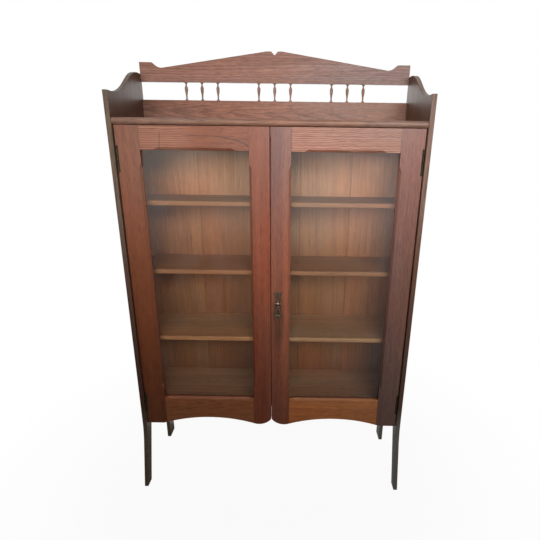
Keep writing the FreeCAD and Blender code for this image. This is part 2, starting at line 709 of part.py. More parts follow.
def meeting_stile_blank(side):
    """Meeting stile with its lobed foot, before anything is cut."""
    points = [
        place(side * OPENING_INNER, DOOR_SETBACK, ARCH_SPRING),
        place(side * OPENING_INNER, DOOR_SETBACK, DOOR_TOP),
        place(side * DOOR_INNER, DOOR_SETBACK, DOOR_TOP),
        place(side * DOOR_INNER, DOOR_SETBACK, LOBE_TIP),
    ]
    lobe = Part.Arc(points[3], place(side * LOBE_CENTRE_X, DOOR_SETBACK, DOOR_FOOT), points[0])
    edges = [Part.LineSegment(start, end).toShape() for start, end in zip(points, points[1:])]
    return Part.Face(Part.Wire(edges + [lobe.toShape()])).extrude(Vector(0, DOOR_THICK, 0))


def meeting_stile(side):
    """Inner stile: catch, and on the right door the handle and the worn corner."""
    stile = meeting_stile_blank(side)
    stile = stile.makeFillet(DOOR_MEETING_R, edges_at(stile, x=side * DOOR_INNER, d=DOOR_SETBACK))
    cuts = stile_cuts(side, OPENING_INNER, -1)
    cuts.append(catch_barrel_blank(side, SEAT_CLEARANCE))
    if side == RIGHT:
        cuts.append(worn_chip(side))
        cuts.append(post_tail(SEAT_CLEARANCE))
        cuts += plate_pin_shanks(SEAT_CLEARANCE)
    return stile.cut(cuts)


def rail_chamfer(side, z, up, stop):
    """Stopped chamfer along a rail's edge beside the glass."""
    ends = sorted((side * (OPENING_INNER + stop), side * (OPENING_OUTER - stop)))
    points = [place(x, DOOR_SETBACK, z) for x in ends]
    return stopped_chamfer(points[0], points[1], Vector(0, 1, up).normalize())


def rail_joinery(rail, side, span, rebate_z, chamfer):
    """A rail with its glass rebate and chamfer cut and its two tenons added."""
    rebate = block((side * OPENING_INNER, side * OPENING_OUTER), (LIP_BACK, DOOR_BACK), rebate_z)
    tenons = [door_tenon(side, x, span, 0.0) for x in (OPENING_INNER, OPENING_OUTER)]
    return rail.cut([rebate, chamfer]).fuse(tenons)


def top_rail(side):
    """Straight upper rail of a door."""
    width = (side * OPENING_INNER, side * OPENING_OUTER)
    rail = block(width, (DOOR_SETBACK, DOOR_BACK), (OPENING_TOP, DOOR_TOP))
    rebate_z = (OPENING_TOP, OPENING_TOP + GLASS_REBATE)
    chamfer = rail_chamfer(side, OPENING_TOP, 1, CHAMFER_STOP)
    return rail_joinery(rail, side, tenon_spans()[0], rebate_z, chamfer)


def bottom_rail(side):
    """Lower rail of a door with an arched underside."""
    middle = side * (OPENING_INNER + OPENING_OUTER) / 2
    points = [
        place(side * OPENING_INNER, DOOR_SETBACK, ARCH_SPRING),
        place(side * OPENING_INNER, DOOR_SETBACK, OPENING_BOTTOM),
        place(side * OPENING_OUTER, DOOR_SETBACK, OPENING_BOTTOM),
        place(side * OPENING_OUTER, DOOR_SETBACK, ARCH_SPRING),
    ]
    arch = Part.Arc(points[3], place(middle, DOOR_SETBACK, ARCH_SPRING + ARCH_RISE), points[0])
    edges = [Part.LineSegment(start, end).toShape() for start, end in zip(points, points[1:])]
    rail = Part.Face(Part.Wire(edges + [arch.toShape()])).extrude(Vector(0, DOOR_THICK, 0))
    rebate_z = (OPENING_BOTTOM - GLASS_REBATE, OPENING_BOTTOM)
    chamfer = rail_chamfer(side, OPENING_BOTTOM, -1, BOTTOM_CHAMFER_STOP)
    return rail_joinery(rail, side, tenon_spans()[1], rebate_z, chamfer)


def glass(side):
    """Pane behind the lip of its door frame."""
    reach = GLASS_REBATE - GLASS_CLEARANCE
    x = (side * (OPENING_INNER - reach), side * (OPENING_OUTER + reach))
    return block(x, (LIP_BACK, GLASS_BACK), (OPENING_BOTTOM - reach, OPENING_TOP + reach))


def glazing_beads(side):
    """Four mitred beads that hold the pane from behind."""
    sight = [(OPENING_INNER, OPENING_BOTTOM), (OPENING_OUTER, OPENING_BOTTOM)]
    sight += [(OPENING_OUTER, OPENING_TOP), (OPENING_INNER, OPENING_TOP)]
    reach = GLASS_REBATE - BEAD_CLEARANCE
    spread = [(-reach, -reach), (reach, -reach), (reach, reach), (-reach, reach)]
    wall = [(x + dx, z + dz) for (x, z), (dx, dz) in zip(sight, spread)]
    beads = []
    for index in range(len(sight)):
        following = (index + 1) % len(sight)
        outline = [sight[index], sight[following], wall[following], wall[index]]
        corners = [(side * x, z, 0) for x, z in outline]
        bead = front_solid(corners, (GLASS_BACK, DOOR_BACK))
        level = [edge for edge in edges_at(bead, d=DOOR_BACK) if is_sight_edge(edge, side)]
        beads.append(bead.makeChamfer(BEAD_CHAMFER, level))
    return beads


def is_sight_edge(edge, side):
    """Whether an edge of a bead borders the clear glass."""
    middle = edge.CenterOfMass
    across = min(abs(middle.x - side * x) for x in (OPENING_INNER, OPENING_OUTER)) < TOLERANCE
    along = min(abs(middle.z - z) for z in (OPENING_BOTTOM, OPENING_TOP)) < TOLERANCE
    return across or along


def knuckle_span(height, index):
    """Lowest and highest point of one knuckle of a hinge at a height."""
    pitch = HINGE_HEIGHT / KNUCKLE_COUNT
    low = height - HINGE_HEIGHT / 2 + index * pitch
    return low + KNUCKLE_GAP / 2, low + pitch - KNUCKLE_GAP / 2


def hinge_leaf(side, height, plate_x, own, screws):
    """Plate with its own knuckles, cleared for the other leaf's, bored for the pin and screws."""
    up = Vector(0, 0, 1)
    plate_z = (height - HINGE_HEIGHT / 2, height + HINGE_HEIGHT / 2)
    leaf = block(plate_x, (DOOR_SETBACK, LEAF_BACK), plate_z)
    cuts = list(screws)
    knuckles = []
    for index in range(KNUCKLE_COUNT):
        low, high = knuckle_span(height, index)
        if index % 2 == own:
            knuckles.append(rod(side * PIN_X, DOOR_SETBACK, low, KNUCKLE_R, high - low, up))
        else:
            room = KNUCKLE_R + KNUCKLE_CLEARANCE
            length = high - low + 2 * KNUCKLE_GAP
            cuts.append(rod(side * PIN_X, DOOR_SETBACK, low - KNUCKLE_GAP, room, length, up))
    bore = HINGE_PIN_R + HINGE_PIN_CLEARANCE
    start = plate_z[0] - KNUCKLE_GAP
    bore_tool = rod(side * PIN_X, DOOR_SETBACK, start, bore, HINGE_HEIGHT + 2 * KNUCKLE_GAP, up)
    return leaf.cut(cuts).fuse(knuckles).cut(bore_tool).removeSplitter()


def screw_places(height):
    """Heights and depths of the three screws of a leaf, the middle one set further back."""
    places = []
    for step in (-1, 0, 1):
        setback = HINGE_SCREW_SETBACK + (0 if step else HINGE_SCREW_HEAD_R)
        places.append((height + step * HINGE_SCREW_PITCH, DOOR_SETBACK + setback))
    return places


def case_leaf_screws(side, height, clearance=0.0):
    """Screws through a case leaf into the side panel."""
    start = side * (INNER_HALF - LEAF_THICK)
    outward = Vector(side, 0, 0)
    return [wood_screw(start, d, z, outward, HINGE_SCREW_HEAD_R, HINGE_SCREW_LENGTH, clearance)
            for z, d in screw_places(height)]


def door_leaf_screws(side, height, clearance=0.0):
    """Screws through a door leaf into the hinge stile."""
    inward = Vector(-side, 0, 0)
    return [wood_screw(side * DOOR_LEAF_FACE, d, z, inward, HINGE_SCREW_HEAD_R, HINGE_SCREW_LENGTH, clearance)
            for z, d in screw_places(height)]


def slotted(screws, x, toward):
    """Screws with a slot across each head, where the heads lie at an offset across."""
    finished = []
    for screw in screws:
        middle = screw.BoundBox.Center
        slot = Part.makeBox(SCREW_SLOT_DEPTH, 2 * HINGE_SCREW_HEAD_R, SCREW_SLOT_WIDTH)
        low_x = min(x, x + toward * SCREW_SLOT_DEPTH)
        slot.translate(Vector(low_x, middle.y - HINGE_SCREW_HEAD_R, middle.z - SCREW_SLOT_WIDTH / 2))
        finished.append(screw.cut(slot))
    return finished


def case_leaf(side, height):
    """Hinge leaf on the side panel."""
    plate_x = (side * (INNER_HALF - LEAF_THICK), side * INNER_HALF)
    return hinge_leaf(side, height, plate_x, 0, case_leaf_screws(side, height, SCREW_CLEARANCE))


def door_leaf(side, height):
    """Hinge leaf in the notch of the door's stile."""
    plate_x = (side * NOTCH_X, side * DOOR_LEAF_FACE)
    return hinge_leaf(side, height, plate_x, 1, door_leaf_screws(side, height, SCREW_CLEARANCE))


def hinge_pins():
    """One headed pin through each hinge."""
    pins = []
    up = Vector(0, 0, 1)
    for side in (LEFT, RIGHT):
        for height in HINGE_HEIGHTS.values():
            low = height - HINGE_HEIGHT / 2
            high = height + HINGE_HEIGHT / 2
            pin = rod(side * PIN_X, DOOR_SETBACK, low, HINGE_PIN_R, HINGE_HEIGHT, up)
            foot = rod(side * PIN_X, DOOR_SETBACK, low - HINGE_PIN_HEAD, HINGE_PIN_HEAD_R, HINGE_PIN_HEAD, up)
            head = rod(side * PIN_X, DOOR_SETBACK, high, HINGE_PIN_HEAD_R, HINGE_PIN_HEAD, up)
            pins.append(pin.fuse([foot, head]).removeSplitter())
    return pins


def case_hinge_screws():
    """Slotted screws of every case leaf."""
    screws = []
    for side in (LEFT, RIGHT):
        face = side * (INNER_HALF - LEAF_THICK)
        for height in HINGE_HEIGHTS.values():
            screws += slotted(case_leaf_screws(side, height), face, side)
    return screws


def door_hinge_screws(side):
    """Slotted screws of one door's leaves."""
    screws = []
    for height in HINGE_HEIGHTS.values():
        screws += slotted(door_leaf_screws(side, height), side * DOOR_LEAF_FACE, -side)
    return screws


def strike_hole_r():
    """Radius of the hole that the catch ball rises into."""
    return math.sqrt(CATCH_BALL_R ** 2 - (CATCH_BALL_R - CATCH_ENGAGEMENT) ** 2) + STRIKE_HOLE_CLEARANCE


def strike_blank(side):
    """Strike plate without its hole."""
    x = (side * CATCH_OFFSET - STRIKE_LENGTH / 2, side * CATCH_OFFSET + STRIKE_LENGTH / 2)
    d = (DOOR_MID - STRIKE_WIDTH / 2, DOOR_MID + STRIKE_WIDTH / 2)
    return block(x, d, (TOP_UNDERSIDE, TOP_UNDERSIDE + STRIKE_THICK))


def catch_strikes():
    """Strike plate over each door, flush in the top board."""
    plates = []
    radius = strike_hole_r()
    for side in (LEFT, RIGHT):
        hole = rod(side * CATCH_OFFSET, DOOR_MID, TOP_UNDERSIDE, radius, STRIKE_THICK, Vector(0, 0, 1))
        plates.append(strike_blank(side).cut(hole))
    return plates


def catch_barrel_blank(side, clearance):
    """Catch barrel without its bore, or its hole in the stile when a clearance is given."""
    length = CATCH_BARREL_LENGTH + clearance
    radius = CATCH_BORE_R + CATCH_WALL + clearance
    return rod(side * CATCH_OFFSET, DOOR_MID, DOOR_TOP, radius, length, Vector(0, 0, -1))


def catch_barrel(side):
    """Barrel in the top of a meeting stile."""
    depth = CATCH_BARREL_LENGTH - CATCH_FLOOR
    bore = rod(side * CATCH_OFFSET, DOOR_MID, DOOR_TOP, CATCH_BORE_R, depth, Vector(0, 0, -1))
    return catch_barrel_blank(side, 0.0).cut(bore)


def catch_ball(side):
    """Sprung ball that holds a door shut."""
    return Part.makeSphere(CATCH_BALL_R, place(side * CATCH_OFFSET, DOOR_MID, CATCH_BALL_CENTRE))


def on_handle(corners):
    """Outline drawn about the handle's pivot, moved to its place on the door."""
    return [(HANDLE_OFFSET + a, HANDLE_HEIGHT + b, radius) for a, b, radius in corners]


def plate_pin_shanks(clearance=0.0):
    """Shanks of the backplate's pins, from the plate's front into the stile."""
    radius = PLATE_PIN_R + clearance
    length = PLATE_PIN_LENGTH + clearance
    return [rod(HANDLE_OFFSET, PLATE_FRONT, HANDLE_HEIGHT + rise, radius, length, Vector(0, 1, 0))
            for rise in PLATE_PIN_HEIGHTS]


def post_tail(clearance=0.0):
    """Threaded tail of the post, through the backplate into the stile."""
    length = PLATE_THICK + POST_TAIL_LENGTH + clearance
    return rod(HANDLE_OFFSET, PLATE_FRONT, HANDLE_HEIGHT, POST_TAIL_R + clearance, length, Vector(0, 1, 0))


def handle_backplate():
    """Scalloped plate with a crown top, a notch in each side, a waist and a spade tail."""
    half = [
        (0, PLATE_CROWN_RISE, PLATE_SOFT_R),
        (PLATE_DIP_HALF, PLATE_DIP_RISE, PLATE_SHARP_R),
        (PLATE_EAR_HALF, PLATE_EAR_RISE, PLATE_SHARP_R),
        (PLATE_FLARE_HALF, PLATE_FLARE_RISE, PLATE_SHARP_R),
        (PLATE_NOTCH_HALF, PLATE_NOTCH_RISE, PLATE_SHARP_R),
        (PLATE_SCROLL_HALF, PLATE_SCROLL_RISE, PLATE_SHARP_R),
        (PLATE_WAIST_HALF, PLATE_WAIST_RISE, PLATE_SOFT_R),
        (PLATE_BOSS_HALF, 0, PLATE_SOFT_R),
        (PLATE_TAIL_HALF, -PLATE_TAIL_DROP, PLATE_SOFT_R),
        (PLATE_SPADE_HALF, -PLATE_SPADE_DROP, PLATE_SOFT_R),
        (0, -PLATE_TIP_DROP, PLATE_SHARP_R),
    ]
    plate = front_solid(on_handle(mirrored(half)), (PLATE_FRONT, DOOR_SETBACK))
    plate = plate.makeChamfer(PLATE_ARRIS, edges_at(plate, d=PLATE_FRONT))
    return plate.cut([post_tail(SEAT_CLEARANCE)] + plate_pin_shanks(SEAT_CLEARANCE))


def handle_plate_pins():
    """Domed pins of the backplate."""
    pins = []
    for shank in plate_pin_shanks():
        axis = shank.BoundBox.Center
        seat = Vector(axis.x, FRONT + PLATE_FRONT, axis.z)
        head = Part.makeCone(PLATE_PIN_HEAD_R, PLATE_PIN_R, PLATE_PIN_HEAD, seat, Vector(0, -1, 0))
        pins.append(shank.fuse(head).removeSplitter())
    return pins


def handle_post():
    """Post with a collar and a ball end, bored across for the pivot pin."""
    forward = Vector(0, -1, 0)
    neck = rod(HANDLE_OFFSET, PLATE_FRONT, HANDLE_HEIGHT, POST_R, POST_REACH, forward)
    collar = rod(HANDLE_OFFSET, PLATE_FRONT, HANDLE_HEIGHT, POST_COLLAR_R, POST_COLLAR, forward)
    ball = Part.makeSphere(POST_BALL_R, place(HANDLE_OFFSET, PIVOT_DEPTH, HANDLE_HEIGHT))
    post = neck.fuse([collar, ball, post_tail()]).removeSplitter()
    return post.cut(pivot(PIVOT_CLEARANCE))


def pivot(clearance=0.0):
    """Pivot pin of the drop, or its bore when a clearance is given."""
    start = HANDLE_OFFSET - CHEEK_OUTER
    return rod(start, PIVOT_DEPTH, HANDLE_HEIGHT, PIVOT_R + clearance, 2 * CHEEK_OUTER, Vector(1, 0, 0))


def handle_drop():
    """Bell-shaped drop with an eye, forked at its top about the post's ball."""
    half = [
        (0, -DROP_FORK_DEPTH, 0),
        (CHEEK_INNER, -DROP_FORK_DEPTH, DROP_SHARP_R),
        (CHEEK_INNER, 0, 0),
        (CHEEK_OUTER, 0, 0),
        (CHEEK_OUTER, -DROP_FORK_DEPTH, DROP_SHARP_R),
        (DROP_NECK_HALF, DROP_NECK, DROP_SOFT_R),
        (DROP_FLARE_HALF, DROP_FLARE, DROP_SOFT_R),
        (DROP_FOOT_HALF, DROP_FOOT, DROP_SHARP_R),
        (DROP_LOBE_HALF, DROP_LOBE, DROP_SOFT_R),
        (0, DROP_CLEFT, DROP_SHARP_R),
    ]
    eye_half = DROP_FLARE_HALF - DROP_EYE_WALL
    eye = [
        (0, DROP_NECK - DROP_EYE_SETBACK, DROP_SHARP_R),
        (eye_half, DROP_CLEFT + DROP_BAR, DROP_SHARP_R),
        (-eye_half, DROP_CLEFT + DROP_BAR, DROP_SHARP_R),
    ]
    d = (PIVOT_DEPTH - DROP_THICK / 2, PIVOT_DEPTH + DROP_THICK / 2)
    drop = front_solid(on_handle(mirrored(half)), d).cut(front_solid(on_handle(eye), d))
    low = edges_at(drop, d=d[0]) + edges_at(drop, d=d[1])
    below = [edge for edge in low if edge.BoundBox.ZMax < HANDLE_HEIGHT - TOLERANCE]
    drop = drop.makeFillet(DROP_ARRIS, below)
    across = Vector(1, 0, 0)
    starts = (HANDLE_OFFSET + CHEEK_INNER, HANDLE_OFFSET - CHEEK_OUTER)
    cheeks = [rod(x, PIVOT_DEPTH, HANDLE_HEIGHT, CHEEK_R, CHEEK_THICK, across) for x in starts]
    return drop.fuse(cheeks).cut(pivot(PIVOT_CLEARANCE)).removeSplitter()


def carcass():
    """Every fixed piece of the case by name."""
    pieces = {SIDE_NAMES[side] + "_side_panel": side_panel(side) for side in (LEFT, RIGHT)}
    pieces["top_board"] = top_board()
    pieces["bottom_board"] = bottom_board()
    for level, surface in SHELF_SURFACES.items():
        pieces[level + "_shelf"] = shelf(surface)
    pieces["shelf_cleats"] = Part.makeCompound(shelf_cleats())
    for index in range(BACK_BOARD_COUNT):
        pieces["back_board_%d" % (index + 1)] = back_board(index)
    pieces["gallery_base_rail"] = gallery_base_rail()
    pieces["gallery_crest_rail"] = gallery_crest_rail()
    for index, x in enumerate(spindle_offsets()):
        pieces["gallery_spindle_%d" % (index + 1)] = spindle(x)
    pieces["door_stop_batten"] = door_stop_batten()
    pieces["hinge_pins"] = Part.makeCompound(hinge_pins())
    pieces["case_hinge_screws"] = Part.makeCompound(case_hinge_screws())
    pieces["catch_strikes"] = Part.makeCompound(catch_strikes())
    for side, name in SIDE_NAMES.items():
        for level, height in HINGE_HEIGHTS.items():
            pieces["%s_%s_hinge_case_leaf" % (name, level)] = case_leaf(side, height)
    return pieces


def door(side):
    """Every piece of one door by name."""
    name = SIDE_NAMES[side]
    pieces = {
        name + "_hinge_stile": hinge_stile(side),
        name + "_meeting_stile": meeting_stile(side),
        name + "_top_rail": top_rail(side),
        name + "_bottom_rail": bottom_rail(side),
        name + "_glass": glass(side),
        name + "_glazing_beads": Part.makeCompound(glazing_beads(side)),
        name + "_door_hinge_screws": Part.makeCompound(door_hinge_screws(side)),
        name + "_catch_barrel": catch_barrel(side),
        name + "_catch_ball": catch_ball(side),
    }
    for level, height in HINGE_HEIGHTS.items():
        pieces["%s_%s_hinge_door_leaf" % (name, level)] = door_leaf(side, height)
    return pieces


def handle():
    """Every piece of the drop handle by name."""
    return {
        "handle_backplate": handle_backplate(),
        "handle_plate_pins": Part.makeCompound(handle_plate_pins()),
        "handle_post": handle_post(),
        "handle_pivot_pin": pivot(),
        "handle_drop": handle_drop(),
    }


def main():
    os.makedirs("parts", exist_ok=True)
    pieces = {**carcass(), **door(LEFT), **door(RIGHT), **handle()}
    for name, shape in pieces.items():
        shape.exportStep("parts/%s.step" % name)


main()
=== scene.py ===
"""Looks of the glass-door bookcase: aged stained wood, old glass, dark brass, soft studio light."""

import json
import math
import random
from collections import namedtuple

import bpy
from mathutils import Matrix, Vector


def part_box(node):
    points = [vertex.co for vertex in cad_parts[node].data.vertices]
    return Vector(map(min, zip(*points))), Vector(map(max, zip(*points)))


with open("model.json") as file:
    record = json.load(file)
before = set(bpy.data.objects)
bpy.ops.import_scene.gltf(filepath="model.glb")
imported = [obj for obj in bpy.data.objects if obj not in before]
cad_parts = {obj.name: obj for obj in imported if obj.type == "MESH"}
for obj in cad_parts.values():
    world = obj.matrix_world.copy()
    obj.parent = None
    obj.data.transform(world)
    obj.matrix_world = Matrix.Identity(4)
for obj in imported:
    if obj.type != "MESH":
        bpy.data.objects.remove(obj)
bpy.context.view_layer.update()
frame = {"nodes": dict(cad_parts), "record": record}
SLOTS = {part["node"]: part["material_slot"] for part in frame["record"]["subparts"]}

AXES = "xyz"
SIDES = ["left_side_panel", "right_side_panel"]
UNTINTED = (1.0, 1.0, 1.0)

# Camera, in metres and radians
CAMERA_PLACE = Vector((0.0801, -1.3188, 1.2119))
CAMERA_PITCH = 0.2976
CAMERA_YAW = -0.0022
CAMERA_ROLL = 0.0136
CAMERA_LENS_MM = 25.33
CAMERA_SENSOR_MM = 36.0
CAMERA_SHIFT = (-0.0443, 0.0093)

# Turns that lay a texture's own Z along the grain
GRAIN_TURN = {
    "x": (0.0, math.pi / 2, 0.0),
    "y": (-math.pi / 2, 0.0, 0.0),
    "z": (0.0, 0.0, 0.0),
}

# A noise: waves to the metre along each axis, octaves, and how strong the finer ones are
Noise = namedtuple("Noise", "waves detail rough", defaults=(2.0, 0.5))


class Graph:
    """Short calls that build one node tree."""

    # Where the Mix node keeps its factor and two colours, and the mixed colour
    MIX_INPUTS = (0, 6, 7)
    MIX_OUTPUT = 2
    # Dot product of the rounded and the true normal: on a flat, and on a fully worn edge
    WEAR_DOTS = (0.985, 0.80)
    BEVEL_SAMPLES = 6

    def __init__(self, tree):
        self.tree = tree
        tree.nodes.clear()

    def feed(self, socket, value):
        """Links a socket to another one, or sets its own value."""
        if isinstance(value, bpy.types.NodeSocket):
            self.tree.links.new(value, socket)
        else:
            socket.default_value = value

    def node(self, kind, inputs=None, **settings):
        made = self.tree.nodes.new(kind)
        for name, value in settings.items():
            setattr(made, name, value)
        for name, value in (inputs or {}).items():
            self.feed(made.inputs[name], value)
        return made

    def math(self, operation, first, second=0.0, third=0.0, clamp=False):
        made = self.node("ShaderNodeMath", operation=operation, use_clamp=clamp)
        for socket, value in zip(made.inputs, (first, second, third)):
            self.feed(socket, value)
        return made.outputs[0]

    def sway(self, value, amount, base=0.0):
        """Adds a noise's swing about its middle to a base value."""
        middle = self.math("SUBTRACT", value, 0.5)
        return self.math("MULTIPLY_ADD", middle, amount, base)

    def vector(self, operation, first, second=(0.0, 0.0, 0.0)):
        made = self.node("ShaderNodeVectorMath", operation=operation)
        self.feed(made.inputs[0], first)
        self.feed(made.inputs[1], second)
        return made.outputs["Value" if operation in ("DOT_PRODUCT", "LENGTH") else "Vector"]

    def place(self):
        return self.node("ShaderNodeTexCoord").outputs["Object"]

    def along(self, axis):
        """One coordinate of the place on the object."""
        return self.node("ShaderNodeSeparateXYZ", {"Vector": self.place()}).outputs[axis.upper()]

    def noise(self, place, noise):
        """A noise between 0 and 1."""
        scaled = self.vector("MULTIPLY", place, noise.waves)
        inputs = {"Vector": scaled, "Scale": 1.0, "Detail": noise.detail, "Roughness": noise.rough}
        return self.node("ShaderNodeTexNoise", inputs).outputs["Fac"]

    def span(self, value, low, high, to_low=0.0, to_high=1.0):
        """Carries one range to another, smoothly and within its ends."""
        inputs = {"Value": value, "From Min": low, "From Max": high, "To Min": to_low, "To Max": to_high}
        made = self.node("ShaderNodeMapRange", inputs, interpolation_type="SMOOTHSTEP")
        return made.outputs["Result"]

    def mix(self, factor, first, second, blend="MIX"):
        made = self.node("ShaderNodeMix", data_type="RGBA", blend_type=blend)
        for index, value in zip(self.MIX_INPUTS, (factor, first, second)):
            self.feed(made.inputs[index], value)
        return made.outputs[self.MIX_OUTPUT]

    def tint(self, weight, tone, tint):
        """Multiplies a colour by a tint, as far as the weight says."""
        return self.mix(weight, tone, self.mix(1.0, tone, tint, "MULTIPLY"))

    def bump(self, height, strength, distance):
        inputs = {"Height": height, "Strength": strength, "Distance": distance}
        return self.node("ShaderNodeBump", inputs).outputs["Normal"]

    def edge_wear(self, radius):
        """1 on outer and inner edges, 0 on flats."""
        bevel = self.node("ShaderNodeBevel", {"Radius": radius}, samples=self.BEVEL_SAMPLES)
        true = self.node("ShaderNodeNewGeometry").outputs["True Normal"]
        return self.span(self.vector("DOT_PRODUCT", bevel.outputs["Normal"], true), *self.WEAR_DOTS)

    def surface(self, shader):
        output = self.node("ShaderNodeOutputMaterial")
        self.tree.links.new(shader, output.inputs["Surface"])

    def blend(self, factor, first, second):
        mixed = self.node("ShaderNodeMixShader", {"Fac": factor})
        self.feed(mixed.inputs[1], first)
        self.feed(mixed.inputs[2], second)
        return mixed.outputs["Shader"]


def new_material(name):
    material = bpy.data.materials.new(name)
    material.use_nodes = True
    return material, Graph(material.node_tree)


def studio_material(name):
    """A material whose glow is only seen, and isn't sampled as a lamp."""
    material, g = new_material(name)
    material.cycles.emission_sampling = "NONE"
    return material, g


def colour(red, green, blue):
    return (red, green, blue, 1.0)


def shade(tone, factor):
    return colour(*(channel * factor for channel in tone[:3]))


def tinted(tone, tint):
    return colour(*(channel * part for channel, part in zip(tone, tint)))


# Wood finishes: linear colours of the light and dark figure, and the roughness of the old varnish
Finish = namedtuple("Finish", "light dark rough")
FINISHES = {
    "case": Finish(colour(0.250, 0.112, 0.070), colour(0.115, 0.048, 0.030), 0.44),
    "door": Finish(colour(0.300, 0.094, 0.050), colour(0.165, 0.046, 0.025), 0.40),
    "gallery": Finish(colour(0.250, 0.130, 0.100), colour(0.112, 0.054, 0.040), 0.46),
    "shelf": Finish(colour(0.420, 0.196, 0.090), colour(0.258, 0.112, 0.049), 0.50),
    "back": Finish(colour(0.310, 0.125, 0.046), colour(0.190, 0.072, 0.025), 0.55),
}
# The varnish: its gloss, and the roughness that streaks and wear add
VARNISH_GLOSS = 0.36
STREAK_ROUGHNESS = 0.25
WEAR_ROUGHNESS = 0.15
# Tones of bleached ridges and of dark lines
BLEACHED = colour(0.46, 0.27, 0.20)
LINE_TONE = colour(0.030, 0.016, 0.012)

# Noises of wood, whose X and Y run across the grain and whose Z runs along it
WOOD_NOISES = {
    "band": Noise((22.0, 22.0, 0.9)),
    "streak": Noise((95.0, 95.0, 2.2), 3.0, 0.6),
    "fibre": Noise((480.0, 480.0, 10.0), 3.0, 0.65),
    "fleck": Noise((250.0, 250.0, 42.0), 1.0),
    "blotch": Noise((4.0, 4.0, 1.5)),
    "pore": Noise((760.0, 760.0, 26.0), 1.0),
}
# The light figure: its share before any noise, and how far each noise sways it
FIGURE_BASE = 0.60
FIGURE_SWAYS = {"band": 1.1, "streak": 0.8, "fibre": 0.9, "fleck": 0.9}
# Stain by blotches: the noise where one tint ends and where the other is full
BLOTCH_SPAN = (0.35, 0.65)
WARM_STAIN = colour(1.08, 0.95, 0.86)
COOL_STAIN = colour(0.92, 1.05, 1.14)
# Pores: the noise from none to full, their share and their shade of the dark figure
PORE_SPAN = (0.60, 0.70)
PORE_SHARE = 0.50
PORE_SHADE = 0.45
# Worn edges: radius, the fibre from none to full, their share and their shade of the light figure
WEAR_RADIUS = 0.0025
WEAR_FIBRE = (0.35, 0.65)
WEAR_SHARE = 0.45
WEAR_SHADE = 1.5
# Relief of the surface: what each part of the grain adds, and the whole
RELIEF_FIBRE = 0.6
RELIEF_LATE = -0.6
RELIEF_PORE = -0.8
RELIEF_STRENGTH = 0.25
RELIEF_DEPTH = 0.0006
# The heart of a tree: its depth from a board, its reach across as a share of the width, and its tilt
HEART_DEPTH = (0.015, 0.050)
HEART_ACROSS = 0.3
HEART_TILT = 0.035
# How far a wood's noises may be shifted, so that no two boards are alike
WOOD_SHIFT = 9.0
# Bends of the rings: along the trunk in metres, in waves of some rings, and in some of a kind's ripples
TRUNK_BEND = Noise((6.0, 6.0, 1.3))
TRUNK_BEND_SIZE = 0.02
RING_WAVE = Noise((48.0, 48.0, 0.6))
RING_WAVE_PITCHES = 3
RING_RIPPLE = Noise((40.0, 40.0, 28.0))
RING_RIPPLE_SIZE = 4
# Late wood: the part of a year over which it rises, and over which it ends
LATE_RISE = (0.25, 0.85)
LATE_END = (1.0, 0.90)
ACROSS_GRAIN = (1.0, 1.0, 0.0)

# Timber by a word in its name: finish, grain, broad face, ring contrast, ring pitch and ripple, relief
Kind = namedtuple("Kind", "word finish grain face rings pitch ripple relief")
KINDS = (
    Kind("gallery_spindle", "gallery", "z", "y", 0.20, 0.0060, 0.0, 0.5),
    Kind("gallery", "gallery", "x", "y", 0.45, 0.0045, 0.0006, 0.9),
    Kind("back_board", "back", "z", "y", 0.30, 0.0090, 0.0, 0.5),
    Kind("shelf_cleats", "shelf", "y", "x", 0.25, 0.0070, 0.0, 0.5),
    Kind("_shelf", "shelf", "x", "z", 0.25, 0.0080, 0.0, 0.5),
    Kind("bottom_board", "shelf", "x", "z", 0.25, 0.0080, 0.0, 0.5),
    Kind("top_board", "case", "x", "z", 0.30, 0.0070, 0.0, 0.7),
    Kind("door_stop_batten", "case", "x", "y", 0.25, 0.0070, 0.0, 0.5),
    Kind("side_panel", "case", "z", "x", 0.30, 0.0080, 0.0, 0.6),
    Kind("left_top_rail", "door", "x", "y", 0.22, 0.0060, 0.0012, 1.1),
    Kind("right_top_rail", "door", "x", "y", 0.28, 0.0054, 0.0016, 1.2),
    Kind("bottom_rail", "door", "x", "y", 0.30, 0.0060, 0.0004, 0.6),
    Kind("", "door", "z", "y", 0.09, 0.0085, 0.0, 0.4),
)

# Tints of single pieces: partly each board's own stain and the handle's own wear, partly painted light:
# the side panels darkened and greyed as painted shade, the right hinge stile greyed as a painted sheen,
# the bottom rails, bottom board, lower shelf and right back boards lightened as painted light, and the
# plate pins darkened as painted shade in their holes
STAIN_AND_LIGHT_TINTS = {
    "left_side_panel": (0.45, 0.65, 0.70),
    "right_side_panel": (0.50, 0.60, 0.64),
    "top_board": (0.87, 0.97, 1.02),
    "left_hinge_stile": (0.53, 0.51, 0.36),
    "left_meeting_stile": (0.69, 0.64, 0.61),
    "right_meeting_stile": (0.71, 0.66, 0.66),
    "right_hinge_stile": (0.52, 0.84, 1.20),
    "left_top_rail": (0.60, 0.75, 0.82),
    "right_top_rail": (0.78, 0.99, 1.12),
    "left_bottom_rail": (1.10, 1.14, 0.80),
    "right_bottom_rail": (1.78, 1.88, 1.10),
    "gallery_base_rail": (0.95, 0.78, 0.64),
    "handle_plate_pins": (0.30, 0.30, 0.30),
    "handle_backplate": (0.80, 0.76, 0.69),
    "handle_post": (1.65, 1.68, 1.76),
    "handle_drop": (0.90, 0.93, 0.96),
    "bottom_board": (1.48, 1.80, 2.05),
    "lower_shelf": (1.38, 1.58, 1.64),
    "upper_shelf": (0.88, 0.92, 0.92),
    "back_board_2": (0.92, 0.93, 0.95),
    "back_board_4": (1.05, 1.08, 1.18),
    "back_board_5": (1.25, 1.20, 1.30),
}

# Where the heart of the tree ran in the two rails with a strong figure
HEARTS = {"left_top_rail": (-0.205, -0.107, 1.232), "right_top_rail": (0.240, -0.090, 1.130)}
